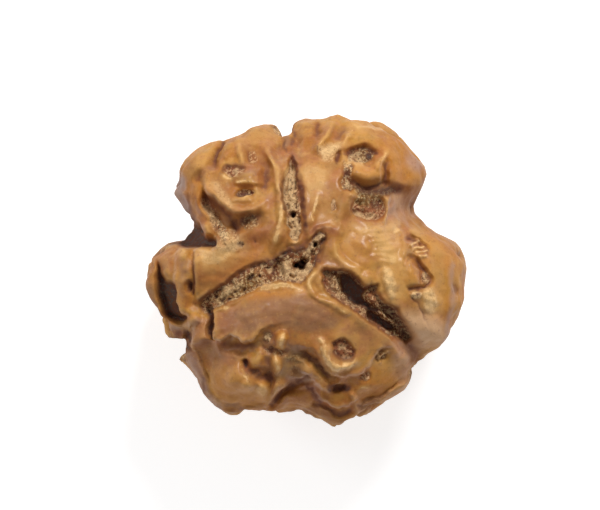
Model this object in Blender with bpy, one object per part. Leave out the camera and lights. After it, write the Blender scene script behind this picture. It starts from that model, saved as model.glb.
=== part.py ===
"""A three mukhi rudraksha: the woody stone of one fruit, grown in one piece.

It has three faces with a groove between each two, from the upper pole to the lower one, where a
narrow natural canal comes out. Each face is furrowed by ridges, folds, knobs and pits. The stone
stands on its lower pole, on a small flat spot, with +Z towards the upper pole.
"""

import math

import bmesh
import bpy
import numpy as np
from mathutils import Vector, noise

MM = 0.001

# Driving dimensions, in metres
WIDTH = 22.0 * MM            # across the lobes, along X
HEIGHT = 20.0 * MM           # from the flat spot to the upper pole
FLAT_SPOT_DEPTH = 1.1 * MM   # how much of the lower pole the flat spot takes away
CANAL_WIDTH = 1.0 * MM       # the natural canal along the axis
CANAL_SIDES = 10
FULLNESS = 0.84              # 1 is an ellipse from the side, less is fuller at the shoulders
OUTLINE_BAND = 0.36          # share of the half height over which the outline's notches run down
OUTLINE_SOFTENING = range(-16, 17, 4)  # turns, in degrees, over which the body evens the outline out

# The canal's profile: level as a share of the height, and width as a share of CANAL_WIDTH
CANAL_PROFILE = [(-1.0, 1.5), (0.10, 1.2), (0.35, 0.9), (0.70, 0.9), (0.90, 1.1), (2.0, 1.6)]

# The stone as seen from above: the outline and the strokes below are in pixels of that view
POLE_AXIS_PX = (306, 271)    # where the axis stands in the view
OUTLINE_WIDTH_PX = 322
VIEW_DISTANCE = 200.0 * MM   # from the eye to the widest level
PIXEL = WIDTH / OUTLINE_WIDTH_PX

# Surface fineness
SCULPT_LEVELS = 7            # subdivisions of the ball that is sculpted
VOXEL = 0.24 * MM
WEAR_ROUNDS = 2              # how often the evened surface is smoothed, and how far each time
WEAR = 0.5
TRIANGLES = 7000

OUTLINE = [
    (287, 139), (276, 126), (262, 124), (243, 133), (228, 139), (210, 142), (197, 148), (184, 160),
    (179, 178), (175, 194), (185, 210), (197, 224), (183, 240), (168, 243), (150, 260), (146, 284),
    (157, 308), (164, 328), (176, 340), (184, 347), (190, 370), (203, 394), (216, 408), (233, 416),
    (245, 410), (267, 411), (300, 411), (315, 419), (333, 427), (349, 419), (367, 415), (387, 401),
    (405, 390), (412, 372), (428, 354), (447, 340), (458, 318), (465, 300), (467, 270), (461, 249),
    (448, 238), (427, 227), (414, 211), (420, 193), (427, 175), (420, 160), (402, 138), (382, 122),
    (360, 120), (338, 114), (322, 118), (305, 118), (293, 125),
]

# Grooves: half width in pixels, depth in mm, stroke from the junction outwards
GROOVES = {
    "top": (8, 0.8, [(299, 262), (295, 245), (291, 215), (290, 185), (289, 160), (287, 136)]),
    "lower left": (10, 0.8, [(299, 264), (270, 270), (250, 278), (222, 297), (205, 315), (186, 343)]),
    "lower right": (15, 1.7, [(326, 284), (345, 290), (362, 301), (380, 314), (396, 330), (414, 367)]),
    "short branch": (6, 0.6, [(303, 258), (312, 244), (320, 233)]),
}

# Ridges: half width in pixels, height in mm, stroke
RIDGES = {
    "left lip, top groove": (13, 0.45, [(268, 150), (275, 165), (278, 185), (279, 225), (270, 248)]),
    "right lip, top groove": (15, 0.45, [(303, 160), (309, 180), (315, 200), (316, 220)]),
    "upper lip, lower left groove": (14, 0.35, [(270, 248), (248, 262), (225, 276), (203, 291)]),
    "lower lip, lower left groove": (10, 0.25, [(300, 284), (280, 285), (255, 291), (228, 307)]),
    "upper lip, lower right groove": (13, 0.40, [(325, 245), (345, 260), (368, 274), (398, 300)]),
    "lower lip, lower right groove": (9, 0.30, [(308, 290), (327, 303), (350, 316), (378, 334)]),
    "bowl rim": (9, 0.60, [(236, 150), (212, 165), (204, 182), (214, 198), (234, 212)]),
    "outer strip": (8, 0.55, [(190, 172), (193, 200), (199, 220), (210, 237)]),
    "slab edge": (7, 0.45, [(197, 247), (214, 245), (230, 250)]),
    "strip beside the slab": (8, 0.60, [(184, 246), (186, 265), (186, 290), (189, 318)]),
    "outer left ridge": (10, 0.90, [(160, 248), (150, 264), (150, 282), (160, 310), (172, 330)]),
    "finger": (7, 0.50, [(334, 122), (326, 135), (317, 147)]),
    "arch": (10, 0.70, [(352, 132), (347, 143), (362, 139), (378, 147), (388, 163)]),
    "rim beside the red pit": (6, 0.40, [(388, 196), (387, 222)]),
    "right border": (9, 0.50, [(404, 222), (402, 245), (406, 266), (412, 284)]),
    "right shoulder": (12, 0.45, [(448, 282), (448, 310), (440, 336)]),
    "slab lip": (7, 0.45, [(213, 312), (216, 338), (234, 333), (250, 337), (262, 324)]),
    "cheek edge": (10, 0.60, [(197, 352), (207, 378), (226, 397), (262, 402)]),
    "crater rim": (9, 0.65, [(322, 346), (328, 366), (346, 375), (366, 368), (380, 352)]),
    "tongue": (8, 0.50, [(300, 366), (314, 380), (326, 389), (338, 379)]),
    "lower fold": (8, 0.50, [(308, 391), (322, 401), (345, 404), (366, 402), (396, 386)]),
    "thin ridge": (6, 0.40, [(278, 368), (274, 386), (268, 402)]),
}

# Hollows: half width in pixels, depth in mm, stroke
HOLLOWS = {
    "left gap": (15, 2.60, [(192, 232), (206, 238), (222, 236)]),
    "crevice beside the bowl": (8, 1.00, [(202, 192), (212, 206), (224, 216), (240, 228)]),
    "pocket": (8, 0.50, [(240, 222), (256, 214)]),
    "dark crease": (6, 0.60, [(224, 144), (214, 160), (202, 170)]),
    "trough": (10, 1.50, [(164, 262), (168, 282), (175, 304), (184, 320)]),
    "slit below the slab": (9, 1.10, [(206, 318), (203, 334), (188, 345)]),
    "eye pit": (12, 0.90, [(348, 154), (366, 156)]),
    "slit beside the knob": (6, 0.60, [(384, 166), (385, 182)]),
    "valley": (10, 0.80, [(348, 186), (372, 188), (402, 190)]),
    "red pit": (12, 0.60, [(358, 208), (373, 213)]),
    "right saddle": (16, 0.90, [(396, 206), (414, 209)]),
    "upper right pit": (9, 0.70, [(410, 240), (422, 241), (428, 250)]),
    "lower right pit": (9, 0.80, [(419, 262), (426, 276), (414, 287)]),
    "under the slab lip": (10, 0.80, [(226, 344), (246, 345), (264, 336)]),
    "pockets below the knobs": (11, 1.10, [(247, 366), (262, 374), (282, 360)]),
    "dark channel": (10, 1.00, [(270, 398), (288, 384), (304, 374)]),
    "crevice above the tongue": (8, 1.10, [(296, 348), (312, 361), (328, 375), (342, 380)]),
    "crater": (10, 1.00, [(338, 348), (346, 351)]),
    "bottom trough": (13, 0.60, [(288, 404), (306, 392)]),
    "small pits": (7, 0.35, [(358, 377), (382, 356)]),
    "groove end valley": (12, 0.60, [(404, 336), (410, 362)]),
}

# Knobs: centre and half sizes in pixels, height in mm
KNOBS = {
    "lip knob": ((366, 173), (17, 11), 1.0),
    "wall knob": ((183, 253), (9, 8), 0.6),
    "drop": ((280, 338), (5, 9), 0.9),
    "teardrop": ((276, 362), (5, 10), 0.8),
    "third drop": ((257, 359), (8, 8), 0.9),
    "outer bump": ((197, 163), (20, 18), 0.6),
    "top bump": ((262, 137), (22, 14), 0.5),
    "upper right bumps": ((402, 165), (19, 22), 0.6),
    "cheek": ((243, 382), (34, 24), 0.7),
    "round bump": ((391, 284), (10, 16), 0.6),
    "yellow knob": ((412, 270), (6, 13), 0.6),
    "right cheek": ((380, 380), (24, 16), 0.5),
    "plateau": ((382, 248), (30, 34), 0.35),
    "lower slab": ((285, 312), (52, 24), 0.45),
}

# The sides and the underside
GROOVE_HALF_WIDTH = 0.9 * MM
GROOVE_DEPTH = 1.5 * MM
GROOVE_SWAY = 0.5 * MM       # how far each groove wanders to the side, and how fast on its way down
SWAY_SPEED = 3
LIP_HEIGHT = 0.45 * MM
LIP_PLACE = 1.9 * GROOVE_HALF_WIDTH
WART_SIZE = 3.6 * MM
WART_HEIGHT = 1.3 * MM       # per unit of gap; a wart is full where the gap to its neighbour is FULL_GAP
FULL_GAP = 0.5
WART_BASE = 0.26 * MM
FURROW_SIZE = 6.0 * MM
FURROW_DEPTH = 0.8 * MM
FURROW_SHARPNESS = 4
WARP_SIZE = 5.0 * MM         # warts and furrows are pushed about by smooth noise of this size
WARP = 1.1 * MM
WARP_SEED = 1                # the smooth noise that pushes them about is the same each time

# Levels above the widest one between which the strokes come in and the lower relief ends
STROKES_FADE = (-1.0 * MM, 3.0 * MM)
LOWER_FADE = (1.0 * MM, 6.0 * MM)

WOOD = {"color": (0.46, 0.23, 0.075, 1), "roughness": 0.42, "metallic": 0.0}


def clear_scene():
    for old in list(bpy.data.objects):
        bpy.data.objects.remove(old, do_unlink=True)


def smoothstep(low, high, value):
    t = np.clip((value - low) / (high - low), 0, 1)
    return t * t * (3 - 2 * t)


def smooth_curve(points, steps=6):
    """The stroke's points joined by a Catmull-Rom curve."""
    p = np.array([points[0], *points, points[-1]], float)
    t = np.linspace(0, 1, steps, endpoint=False)[:, None]
    runs = []
    for a, b, c, d in zip(p[:-3], p[1:-2], p[2:-1], p[3:]):
        bend = (2 * a - 5 * b + 4 * c - d) * t**2 + (3 * b - a - 3 * c + d) * t**3
        runs.append(0.5 * (2 * b + (c - a) * t + bend))
    return np.vstack([*runs, p[-1:]])


def distance_to(stroke, seen):
    """Distance of each seen point from the stroke."""
    curve = smooth_curve(stroke)
    nearest = np.full(len(seen), np.inf)
    for start, end in zip(curve[:-1], curve[1:]):
        run = end - start
        share = np.clip((seen - start) @ run / max(run @ run, 1e-9), 0, 1)
        away = seen - start - share[:, None] * run
        nearest = np.minimum(nearest, np.hypot(away[:, 0], away[:, 1]))
    return nearest


def rounded(distance, half_width):
    """1 on the stroke, falling to 0 at its half width with a rounded top."""
    return np.clip(1 - (distance / half_width) ** 2, 0, None) ** 1.3


def outline_radius(angle):
    """Radius of the outline from above at each angle, in metres."""
    points = np.array(OUTLINE, float) - POLE_AXIS_PX
    points[:, 1] *= -1
    order = np.argsort(np.arctan2(points[:, 1], points[:, 0]))
    points = points[order]
    angles = np.arctan2(points[:, 1], points[:, 0])
    radii = np.hypot(points[:, 0], points[:, 1]) * PIXEL
    return np.interp(angle, angles, radii, period=2 * math.pi)


def notch_angle(groove):
    """Direction of the groove's outer end, seen from the axis."""
    x, y = GROOVES[groove][2][-1]
    return math.atan2(POLE_AXIS_PX[1] - y, x - POLE_AXIS_PX[0])


def move(bm, points):
    """Puts the bmesh's vertices at the points, and returns the new normals."""
    for vert, place in zip(bm.verts, points):
        vert.co = place
    bm.normal_update()
    return np.array([v.normal for v in bm.verts])


def body_form(way, detail):
    """The three-lobed body without its relief, full at the shoulders.

    With a detail of 0 its sides are smooth; with 1 they follow the outline exactly at the widest level.
    """
    angle = np.arctan2(way[:, 1], way[:, 0])
    level = np.arcsin(np.clip(way[:, 2], -1, 1))
    spread = np.cos(level) ** FULLNESS
    rise = np.sign(level) * np.abs(np.sin(level)) ** FULLNESS
    near_outline = np.exp(-((rise / OUTLINE_BAND) ** 2))
    soft = np.mean([outline_radius(angle + turn) for turn in np.radians(OUTLINE_SOFTENING)], axis=0)
    radius = soft + (outline_radius(angle) - soft) * near_outline * detail
    half_height = (HEIGHT + FLAT_SPOT_DEPTH) / 2
    return np.column_stack(
        [radius * spread * np.cos(angle), radius * spread * np.sin(angle), half_height * rise]
    )


def seen_from_above(points):
    """Where each point falls in the view from above, in its pixels."""
    reach = VIEW_DISTANCE / (VIEW_DISTANCE - points[:, 2])
    x = POLE_AXIS_PX[0] + points[:, 0] * reach / PIXEL
    y = POLE_AXIS_PX[1] - points[:, 1] * reach / PIXEL
    return np.column_stack([x, y])


def upper_relief(points):
    """Height of the strokes at each point, faded out below the widest level."""
    seen = seen_from_above(points)
    height = np.zeros(len(points))
    for half_width, rise, stroke in RIDGES.values():
        height += rise * MM * rounded(distance_to(stroke, seen), half_width)
    for centre, half_size, rise in KNOBS.values():
        away = (seen - centre) / half_size
        height += rise * MM * rounded(np.hypot(away[:, 0], away[:, 1]), 1)
    for half_width, depth, stroke in [*HOLLOWS.values(), *GROOVES.values()]:
        height -= depth * MM * rounded(distance_to(stroke, seen), half_width)
    return height * smoothstep(*STROKES_FADE, points[:, 2])


def lower_relief(points, way):
    """Grooves with raised lips, furrows and warts on the sides and the underside."""
    cover = 1 - smoothstep(*LOWER_FADE, points[:, 2])
    height = np.zeros(len(points))
    for groove in ("top", "lower left", "lower right"):
        angle = notch_angle(groove)
        sway = GROOVE_SWAY * np.sin(SWAY_SPEED * way[:, 2] + angle)
        across = points[:, 1] * math.cos(angle) - points[:, 0] * math.sin(angle) + sway
        along = points[:, 0] * math.cos(angle) + points[:, 1] * math.sin(angle)
        outer = smoothstep(-CANAL_WIDTH / 2, CANAL_WIDTH / 2, along)
        height -= GROOVE_DEPTH * outer * rounded(across, GROOVE_HALF_WIDTH)
        beside_lip = np.abs(across) - LIP_PLACE
        height += LIP_HEIGHT * outer * rounded(beside_lip, GROOVE_HALF_WIDTH)
    noise.seed_set(WARP_SEED)
    for i in np.flatnonzero(cover > 0):
        place = Vector(points[i])
        place += noise.noise_vector(place / WARP_SIZE) * WARP
        nearest, second = noise.voronoi(place / WART_SIZE)[0][:2]
        furrow = max(1 - 2 * abs(noise.noise(place / FURROW_SIZE)), 0)
        height[i] += WART_HEIGHT * min(second - nearest, FULL_GAP) - WART_BASE
        height[i] -= FURROW_DEPTH * furrow**FURROW_SHARPNESS
    return height * cover


def sculpt():
    """The sculpted ball as a mesh, evened out and thinned to a plain closed shell."""
    bm = bmesh.new()
    bmesh.ops.create_icosphere(bm, subdivisions=SCULPT_LEVELS, radius=1)
    way = np.array([v.co for v in bm.verts])
    outward = move(bm, body_form(way, detail=0))
    points = body_form(way, detail=1)
    relief = upper_relief(points) + lower_relief(points, way)
    move(bm, points + relief[:, None] * outward)
    mesh = bpy.data.meshes.new("sculpt")
    bm.to_mesh(mesh)
    bm.free()
    rough = bpy.data.objects.new("sculpt", mesh)
    bpy.context.collection.objects.link(rough)
    remesh = rough.modifiers.new("even faces", "REMESH")
    remesh.mode = "VOXEL"
    remesh.voxel_size = VOXEL
    worn = rough.modifiers.new("worn edges", "SMOOTH")
    worn.factor = WEAR
    worn.iterations = WEAR_ROUNDS
    thin = rough.modifiers.new("fewer faces", "DECIMATE")
    thin.use_collapse_triangulate = True
    thin.ratio = 1
    graph = bpy.context.evaluated_depsgraph_get()
    fine = sum(len(p.vertices) - 2 for p in rough.evaluated_get(graph).data.polygons)
    thin.ratio = TRIANGLES / fine
    graph = bpy.context.evaluated_depsgraph_get()
    shell = bpy.data.meshes.new_from_object(rough.evaluated_get(graph))
    bpy.data.objects.remove(rough)
    return shell


def fit(mesh):
    """Brings the shell to its real size, with the flat spot's level at zero and its middle at the origin."""
    points = np.empty(len(mesh.vertices) * 3)
    mesh.vertices.foreach_get("co", points)
    points = points.reshape(-1, 3)
    low, high = points.min(axis=0), points.max(axis=0)
    wide = WIDTH / (high[0] - low[0])
    tall = (HEIGHT + FLAT_SPOT_DEPTH) / (high[2] - low[2])
    points -= [(low[0] + high[0]) / 2, (low[1] + high[1]) / 2, low[2]]
    points *= [wide, wide, tall]
    points[:, 2] -= FLAT_SPOT_DEPTH
    mesh.vertices.foreach_set("co", points.ravel())
    mesh.update()


def cutter(name, bm):
    """A hidden body that a Boolean takes away."""
    mesh = bpy.data.meshes.new(name)
    bm.to_mesh(mesh)
    bm.free()
    body = bpy.data.objects.new(name, mesh)
    body.hide_render = True
    body.display_type = "WIRE"
    bpy.context.collection.objects.link(body)
    return body


def flat_spot_cutter():
    """A block whose top is the level that the stone rests on."""
    bm = bmesh.new()
    bmesh.ops.create_cube(bm, size=2 * WIDTH)
    bmesh.ops.translate(bm, verts=bm.verts, vec=(0, 0, -WIDTH))
    return cutter("flat_spot_cutter", bm)


def canal_cutter():
    """The natural canal: a narrow tube along the axis, wider at both mouths."""
    bm = bmesh.new()
    profile = [
        bm.verts.new((CANAL_WIDTH / 2 * share, 0, HEIGHT * level)) for level, share in CANAL_PROFILE
    ]
    edges = [bm.edges.new(pair) for pair in zip(profile[:-1], profile[1:])]
    bmesh.ops.spin(
        bm, geom=profile + edges, cent=(0, 0, 0), axis=(0, 0, 1), angle=2 * math.pi, steps=CANAL_SIDES,
        use_merge=True,
    )
    bmesh.ops.holes_fill(bm, edges=[e for e in bm.edges if e.is_boundary], sides=0)
    bmesh.ops.recalc_face_normals(bm, faces=bm.faces)
    return cutter("canal_cutter", bm)


def wood_material():
    material = bpy.data.materials.new("woody_stone")
    material.use_nodes = True
    shader = material.node_tree.nodes["Principled BSDF"]
    shader.inputs["Base Color"].default_value = WOOD["color"]
    shader.inputs["Roughness"].default_value = WOOD["roughness"]
    shader.inputs["Metallic"].default_value = WOOD["metallic"]
    return material


def rudraksha_bead():
    mesh = sculpt()
    fit(mesh)
    mesh.name = "rudraksha_bead"
    mesh.materials.append(wood_material())
    mesh.shade_smooth()
    bead = bpy.data.objects.new("rudraksha_bead", mesh)
    bpy.context.collection.objects.link(bead)
    for body in (flat_spot_cutter(), canal_cutter()):
        cut = bead.modifiers.new(body.name, "BOOLEAN")
        cut.operation = "DIFFERENCE"
        cut.object = body
    return bead


clear_scene()
rudraksha_bead()
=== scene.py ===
import math

import bmesh
import bpy
import numpy as np
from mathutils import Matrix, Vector, noise


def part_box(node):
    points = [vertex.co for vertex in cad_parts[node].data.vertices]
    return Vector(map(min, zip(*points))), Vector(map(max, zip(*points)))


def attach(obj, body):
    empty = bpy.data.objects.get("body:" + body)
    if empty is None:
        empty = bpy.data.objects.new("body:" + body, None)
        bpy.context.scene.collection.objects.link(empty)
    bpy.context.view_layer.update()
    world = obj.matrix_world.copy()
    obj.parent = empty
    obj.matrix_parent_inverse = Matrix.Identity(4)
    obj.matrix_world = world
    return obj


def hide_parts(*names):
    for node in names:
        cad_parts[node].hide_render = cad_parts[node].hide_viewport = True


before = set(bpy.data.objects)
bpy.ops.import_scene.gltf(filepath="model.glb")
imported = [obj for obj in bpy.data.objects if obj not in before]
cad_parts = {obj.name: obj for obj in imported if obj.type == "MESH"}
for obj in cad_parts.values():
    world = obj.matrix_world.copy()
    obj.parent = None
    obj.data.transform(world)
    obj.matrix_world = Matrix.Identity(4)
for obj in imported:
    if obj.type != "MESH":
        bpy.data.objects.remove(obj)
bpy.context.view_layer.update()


# The stone of a rudraksha fruit with three faces: hard, waxy wood, grown in one piece. Three grooves
# filled with dry fibre run from pole to pole. It is sculpted on a fine ball, first as a lobed body,
# then fold by fold, in pixels of the view straight down on its upper pole.
MM = 0.001
low, high = (Vector(corner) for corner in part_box("rudraksha_bead"))
WIDTH = high.x - low.x
HEIGHT = high.z - low.z
FLAT_SPOT_DEPTH = 1.1 * MM
HALF_HEIGHT = (HEIGHT + FLAT_SPOT_DEPTH) / 2
WIDEST_LEVEL = HALF_HEIGHT - FLAT_SPOT_DEPTH
FULLNESS = 0.84  # 1 is a ball, and less is squarer in the shoulders

VIEW_WIDTH_PX = 600
VIEW_CENTRE_PX = (300, 255)
AXIS_PX = (306, 271)
OUTLINE_WIDTH_PX = 322
PIXEL = WIDTH / OUTLINE_WIDTH_PX
VIEW_DISTANCE = 200 * MM
CAMERA_X = (VIEW_CENTRE_PX[0] - AXIS_PX[0]) * PIXEL
CAMERA_Y = (AXIS_PX[1] - VIEW_CENTRE_PX[1]) * PIXEL

# The outline as the view shows it, clockwise from the end of the upper groove
OUTLINE = [
    (286, 137), (281, 132), (276, 126), (272, 124), (264, 124), (251, 127), (243, 133), (228, 139),
    (210, 142), (197, 148), (190, 154), (184, 160), (179, 169), (179, 180), (173, 193), (179, 201),
    (186, 211), (194, 223), (193, 230), (184, 240), (168, 243), (160, 249), (150, 260), (147, 273),
    (145, 288), (150, 299), (157, 308), (161, 317), (164, 325), (165, 334), (172, 339), (184, 339),
    (187, 343), (184, 350), (178, 357), (190, 370), (197, 380), (203, 394), (212, 404), (223, 412),
    (231, 416), (240, 414), (246, 410), (267, 411), (280, 413), (300, 410), (308, 415), (322, 420),
    (333, 427), (340, 426), (349, 419), (367, 415), (377, 408), (387, 401), (405, 390), (410, 382),
    (413, 368), (420, 361), (428, 354), (440, 347), (448, 338), (452, 328), (458, 318), (464, 302),
    (465, 284), (467, 268), (465, 257), (461, 248), (456, 242), (448, 238), (437, 233), (427, 226),
    (415, 213), (414, 206), (417, 198), (423, 186), (427, 174), (425, 166), (420, 159), (411, 149),
    (402, 138), (395, 131), (388, 126), (382, 122), (370, 121), (360, 120), (350, 119), (343, 116),
    (338, 114), (332, 115), (325, 118), (315, 119), (305, 118), (299, 120), (293, 125), (290, 132),
]

BALL_SUBDIVISIONS = 8
ball = bmesh.new()
bmesh.ops.create_icosphere(ball, subdivisions=BALL_SUBDIVISIONS, radius=1)
stone_mesh = bpy.data.meshes.new("rudraksha_stone")
ball.to_mesh(stone_mesh)
ball.free()
COUNT = len(stone_mesh.vertices)


def read_points(mesh):
    values = np.empty(COUNT * 3, np.float32)
    mesh.vertices.foreach_get("co", values)
    return values.reshape(-1, 3).astype(float)


def read_normals(mesh):
    values = np.empty(COUNT * 3, np.float32)
    mesh.vertex_normals.foreach_get("vector", values)
    return values.reshape(-1, 3).astype(float)


def write_points(mesh, points):
    mesh.vertices.foreach_set("co", points.astype(np.float32).ravel())
    mesh.update()


def smoothstep(start, end, value):
    share = np.clip((value - start) / (end - start), 0, 1)
    return share * share * (3 - 2 * share)


outline = (np.array(OUTLINE, float) - AXIS_PX) * [PIXEL, -PIXEL]
outline = outline[np.argsort(np.arctan2(outline[:, 1], outline[:, 0]))]
outline_angles = np.arctan2(outline[:, 1], outline[:, 0])
outline_radii = np.hypot(outline[:, 0], outline[:, 1])


def outline_radius(angle):
    """How far from the axis the outline lies at an angle."""
    return np.interp(angle, outline_angles, outline_radii, period=2 * math.pi)


def body_form(way, follows_outline):
    """The lobed body without its relief, smooth or following the outline at its widest level."""
    angle = np.arctan2(way[:, 1], way[:, 0])
    level = np.arcsin(np.clip(way[:, 2], -1, 1))
    spread = np.cos(level) ** FULLNESS
    rise = np.sign(level) * np.abs(np.sin(level)) ** FULLNESS
    sharp, mild, soft = (
        np.mean([outline_radius(angle + turn) for turn in np.radians(np.arange(-3, 4) * reach / 3)], axis=0)
        for reach in (1, 6, 15)
    )
    to_mild = smoothstep(0.15, 0.60, np.abs(rise)) if follows_outline else 1
    to_soft = smoothstep(0.45, 0.95, np.abs(rise)) if follows_outline else 1
    radius = sharp + (mild - sharp) * to_mild
    radius += (soft - radius) * to_soft
    level_z = WIDEST_LEVEL + HALF_HEIGHT * rise
    return np.column_stack([radius * spread * np.cos(angle), radius * spread * np.sin(angle), level_z])


def seen_from_above(points):
    """Where each point falls in the view from above, in its pixels."""
    reach = VIEW_DISTANCE / (VIEW_DISTANCE - (points[:, 2] - WIDEST_LEVEL)) / PIXEL
    x = VIEW_CENTRE_PX[0] + (points[:, 0] - CAMERA_X) * reach
    y = VIEW_CENTRE_PX[1] - (points[:, 1] - CAMERA_Y) * reach
    return np.column_stack([x, y])


# The ball's points are drawn together towards the upper pole, where the relief is finest
DRAWN_TOGETHER = 0.35
way = read_points(stone_mesh)
from_pole = np.arccos(np.clip(way[:, 2], -1, 1))
from_pole -= DRAWN_TOGETHER * np.sin(from_pole)
way[:, :2] *= (np.sin(from_pole) / np.maximum(np.hypot(way[:, 0], way[:, 1]), 1e-9))[:, None]
way[:, 2] = np.cos(from_pole)
write_points(stone_mesh, body_form(way, follows_outline=False))
outward = read_normals(stone_mesh)
body = body_form(way, follows_outline=True)
above = body[:, 2] - WIDEST_LEVEL
drawn = smoothstep(-0.8 * MM, 2.0 * MM, above)
drawable = drawn > 0

# The folds seen from above rise towards the eye rather than straight out, which keeps them in their places
straight_out = outward.copy()
out_share = np.hypot(body[:, 0], body[:, 1]) / outline_radius(np.arctan2(body[:, 1], body[:, 0]))
outward[:, 2] += (0.6 + 3.4 * smoothstep(0.55, 1.0, out_share)) * drawn
outward /= np.linalg.norm(outward, axis=1)[:, None]

ends = np.empty(len(stone_mesh.edges) * 2, np.int32)
stone_mesh.edges.foreach_get("vertices", ends)
ends = ends.reshape(-1, 2)
neighbours = np.bincount(ends.ravel(), minlength=COUNT)


def smoothed(values, rounds, keep=None):
    """The values evened out over the mesh's edges; where keep is 1 they stay."""
    for _ in range(rounds):
        total = np.zeros_like(values)
        for column in range(values.shape[1]):
            total[:, column] = np.bincount(ends[:, 0], values[ends[:, 1], column], COUNT)
            total[:, column] += np.bincount(ends[:, 1], values[ends[:, 0], column], COUNT)
        mean = total / neighbours[:, None]
        values = mean if keep is None else mean + (values - mean) * keep[:, None]
    return values


def smooth_curve(points, closed=False, steps=6):
    """The points, each with its strength, joined by a Catmull-Rom curve."""
    p = np.array([(*point, 1)[:3] if len(point) == 2 else point for point in points], float)
    if closed:
        p = np.vstack([p[-1], p, p[0], p[1]])
    else:
        p = np.vstack([2 * p[0] - p[1], p, 2 * p[-1] - p[-2]])
    t = np.linspace(0, 1, steps, endpoint=False)[:, None]
    runs = []
    for a, b, c, d in zip(p[:-3], p[1:-2], p[2:-1], p[3:]):
        bend = (2 * a - 5 * b + 4 * c - d) * t**2 + (3 * b - a - 3 * c + d) * t**3
        runs.append(0.5 * (2 * b + (c - a) * t + bend))
    return np.vstack([*runs, p[-2:-1]])


def near_box(curve, reach):
    """The vertices in the box round a curve, widened by the reach."""
    lowest, highest = curve[:, :2].min(axis=0) - reach, curve[:, :2].max(axis=0) + reach
    return np.flatnonzero(drawable & ((seen > lowest) & (seen < highest)).all(axis=1))


def along(points, reach):
    """The vertices near a stroke: their distance, side, strength and way past its ends.

    The side is positive on the right hand of someone who walks the stroke as the view shows it.
    """
    curve = smooth_curve(points)
    near = near_box(curve, reach)
    place = seen[near]
    nearest = np.full(len(near), np.inf)
    side, strength, past = np.zeros(len(near)), np.zeros(len(near)), np.zeros(len(near))
    last = len(curve) - 2
    for i, (start, end) in enumerate(zip(curve[:-1], curve[1:])):
        run = end[:2] - start[:2]
        length = max(math.hypot(*run), 1e-6)
        away = place - start[:2]
        share = away @ run / length**2
        held = np.clip(share, 0, 1)
        distance = np.hypot(away[:, 0] - held * run[0], away[:, 1] - held * run[1])
        closer = distance < nearest
        nearest = np.where(closer, distance, nearest)
        across = (away[:, 1] * run[0] - away[:, 0] * run[1]) / length
        side = np.where(closer, across, side)
        strength = np.where(closer, start[2] + held * (end[2] - start[2]), strength)
        over = np.zeros(len(near))
        if i == 0:
            over = np.maximum(over, -share * length)
        if i == last:
            over = np.maximum(over, (share - 1) * length)
        past = np.where(closer, over, past)
    return near, nearest, side, strength, past


def inside(points, reach):
    """The vertices in or near a closed outline, and how far inside it each one is."""
    ring = smooth_curve(points, closed=True, steps=4)[:, :2]
    near = near_box(ring, reach)
    x, y = seen[near].T
    nearest, crossings = np.full(len(near), np.inf), np.zeros(len(near), int)
    for (ax, ay), (bx, by) in zip(ring[:-1], ring[1:]):
        length = max(math.hypot(bx - ax, by - ay), 1e-6)
        share = np.clip(((x - ax) * (bx - ax) + (y - ay) * (by - ay)) / length**2, 0, 1)
        nearest = np.minimum(nearest, np.hypot(x - ax - share * (bx - ax), y - ay - share * (by - ay)))
        if ay != by:
            spans = (ay > y) != (by > y)
            crossings += spans & (x < ax + (y - ay) * (bx - ax) / (by - ay))
    return near, np.where(crossings % 2 == 1, nearest, -nearest)


def ridge(half_width, height, *points, roundness=1.3):
    """A rounded fold along a stroke."""
    near, distance, _, strength, _ = along(points, half_width)
    profile = np.clip(1 - (distance / half_width) ** 2, 0, None) ** roundness
    relief[near] += height * MM * strength * profile


def hollow(half_width, depth, *points, roundness=1.3):
    """A rounded furrow along a stroke."""
    ridge(half_width, -depth, *points, roundness=roundness)


def crease(half_width, depth, *points):
    """A sharp-bottomed fold, with painted shade along its bottom."""
    near, distance, _, strength, _ = along(points, half_width)
    profile = np.clip(1 - distance / half_width, 0, None) ** 1.6
    relief[near] -= depth * MM * strength * profile
    masks["dark"][near] = np.maximum(masks["dark"][near], np.clip(profile * 1.2, 0, 1) * 0.6 * strength)


def cliff(edge, reach, height, *points):
    """A lip that drops over the edge's width on the left hand, and slopes off over the reach on the right."""
    near, _, side, strength, past = along(points, 3 * reach)
    rise = smoothstep(-edge, edge * 0.4, side) * np.exp(-np.clip(side, 0, None) / reach)
    rise *= np.exp(-((past / (0.45 * reach)) ** 2))
    relief[near] += height * MM * strength * rise


def sink(depth, wall, *points, fibre=1.0, margin=0.8, margin_width=3.5):
    """A region let in below the surface, with dry fibre on its floor and painted shade in a patchy margin
    along its wall.
    """
    near, deep = inside(points, wall)
    relief[near] -= depth * MM * smoothstep(-wall / 2, wall / 2, deep)
    colour_mark = margin * np.clip(1 - np.abs(deep - margin_width / 4) / margin_width, 0, 1) * patchy[near]
    masks["dark"][near] = np.maximum(masks["dark"][near], colour_mark)
    floor_share = smoothstep(-1, 2.5, deep)
    masks["fibre"][near] += (fibre - masks["fibre"][near]) * floor_share


def tint(mask, strength, soft, *points):
    """A mark in one of the colour masks inside a closed outline, with a soft edge; the masks hold the stone's
    own colour patches as well as painted shade, painted highlights and painted sheen.
    """
    near, deep = inside(points, soft)
    masks[mask][near] = np.maximum(masks[mask][near], strength * smoothstep(-soft, soft, deep))


def oval(centre, half_size, turn=0):
    """The vertices in an oval and their distance from its middle, 1 at its rim. The turn is clockwise."""
    reach = max(half_size)
    near = np.flatnonzero(drawable & (np.abs(seen - centre) < reach).all(axis=1))
    away = seen[near] - centre
    c, s = math.cos(math.radians(turn)), math.sin(math.radians(turn))
    x, y = away[:, 0] * c + away[:, 1] * s, away[:, 1] * c - away[:, 0] * s
    return near, np.hypot(x / half_size[0], y / half_size[1])


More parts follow.
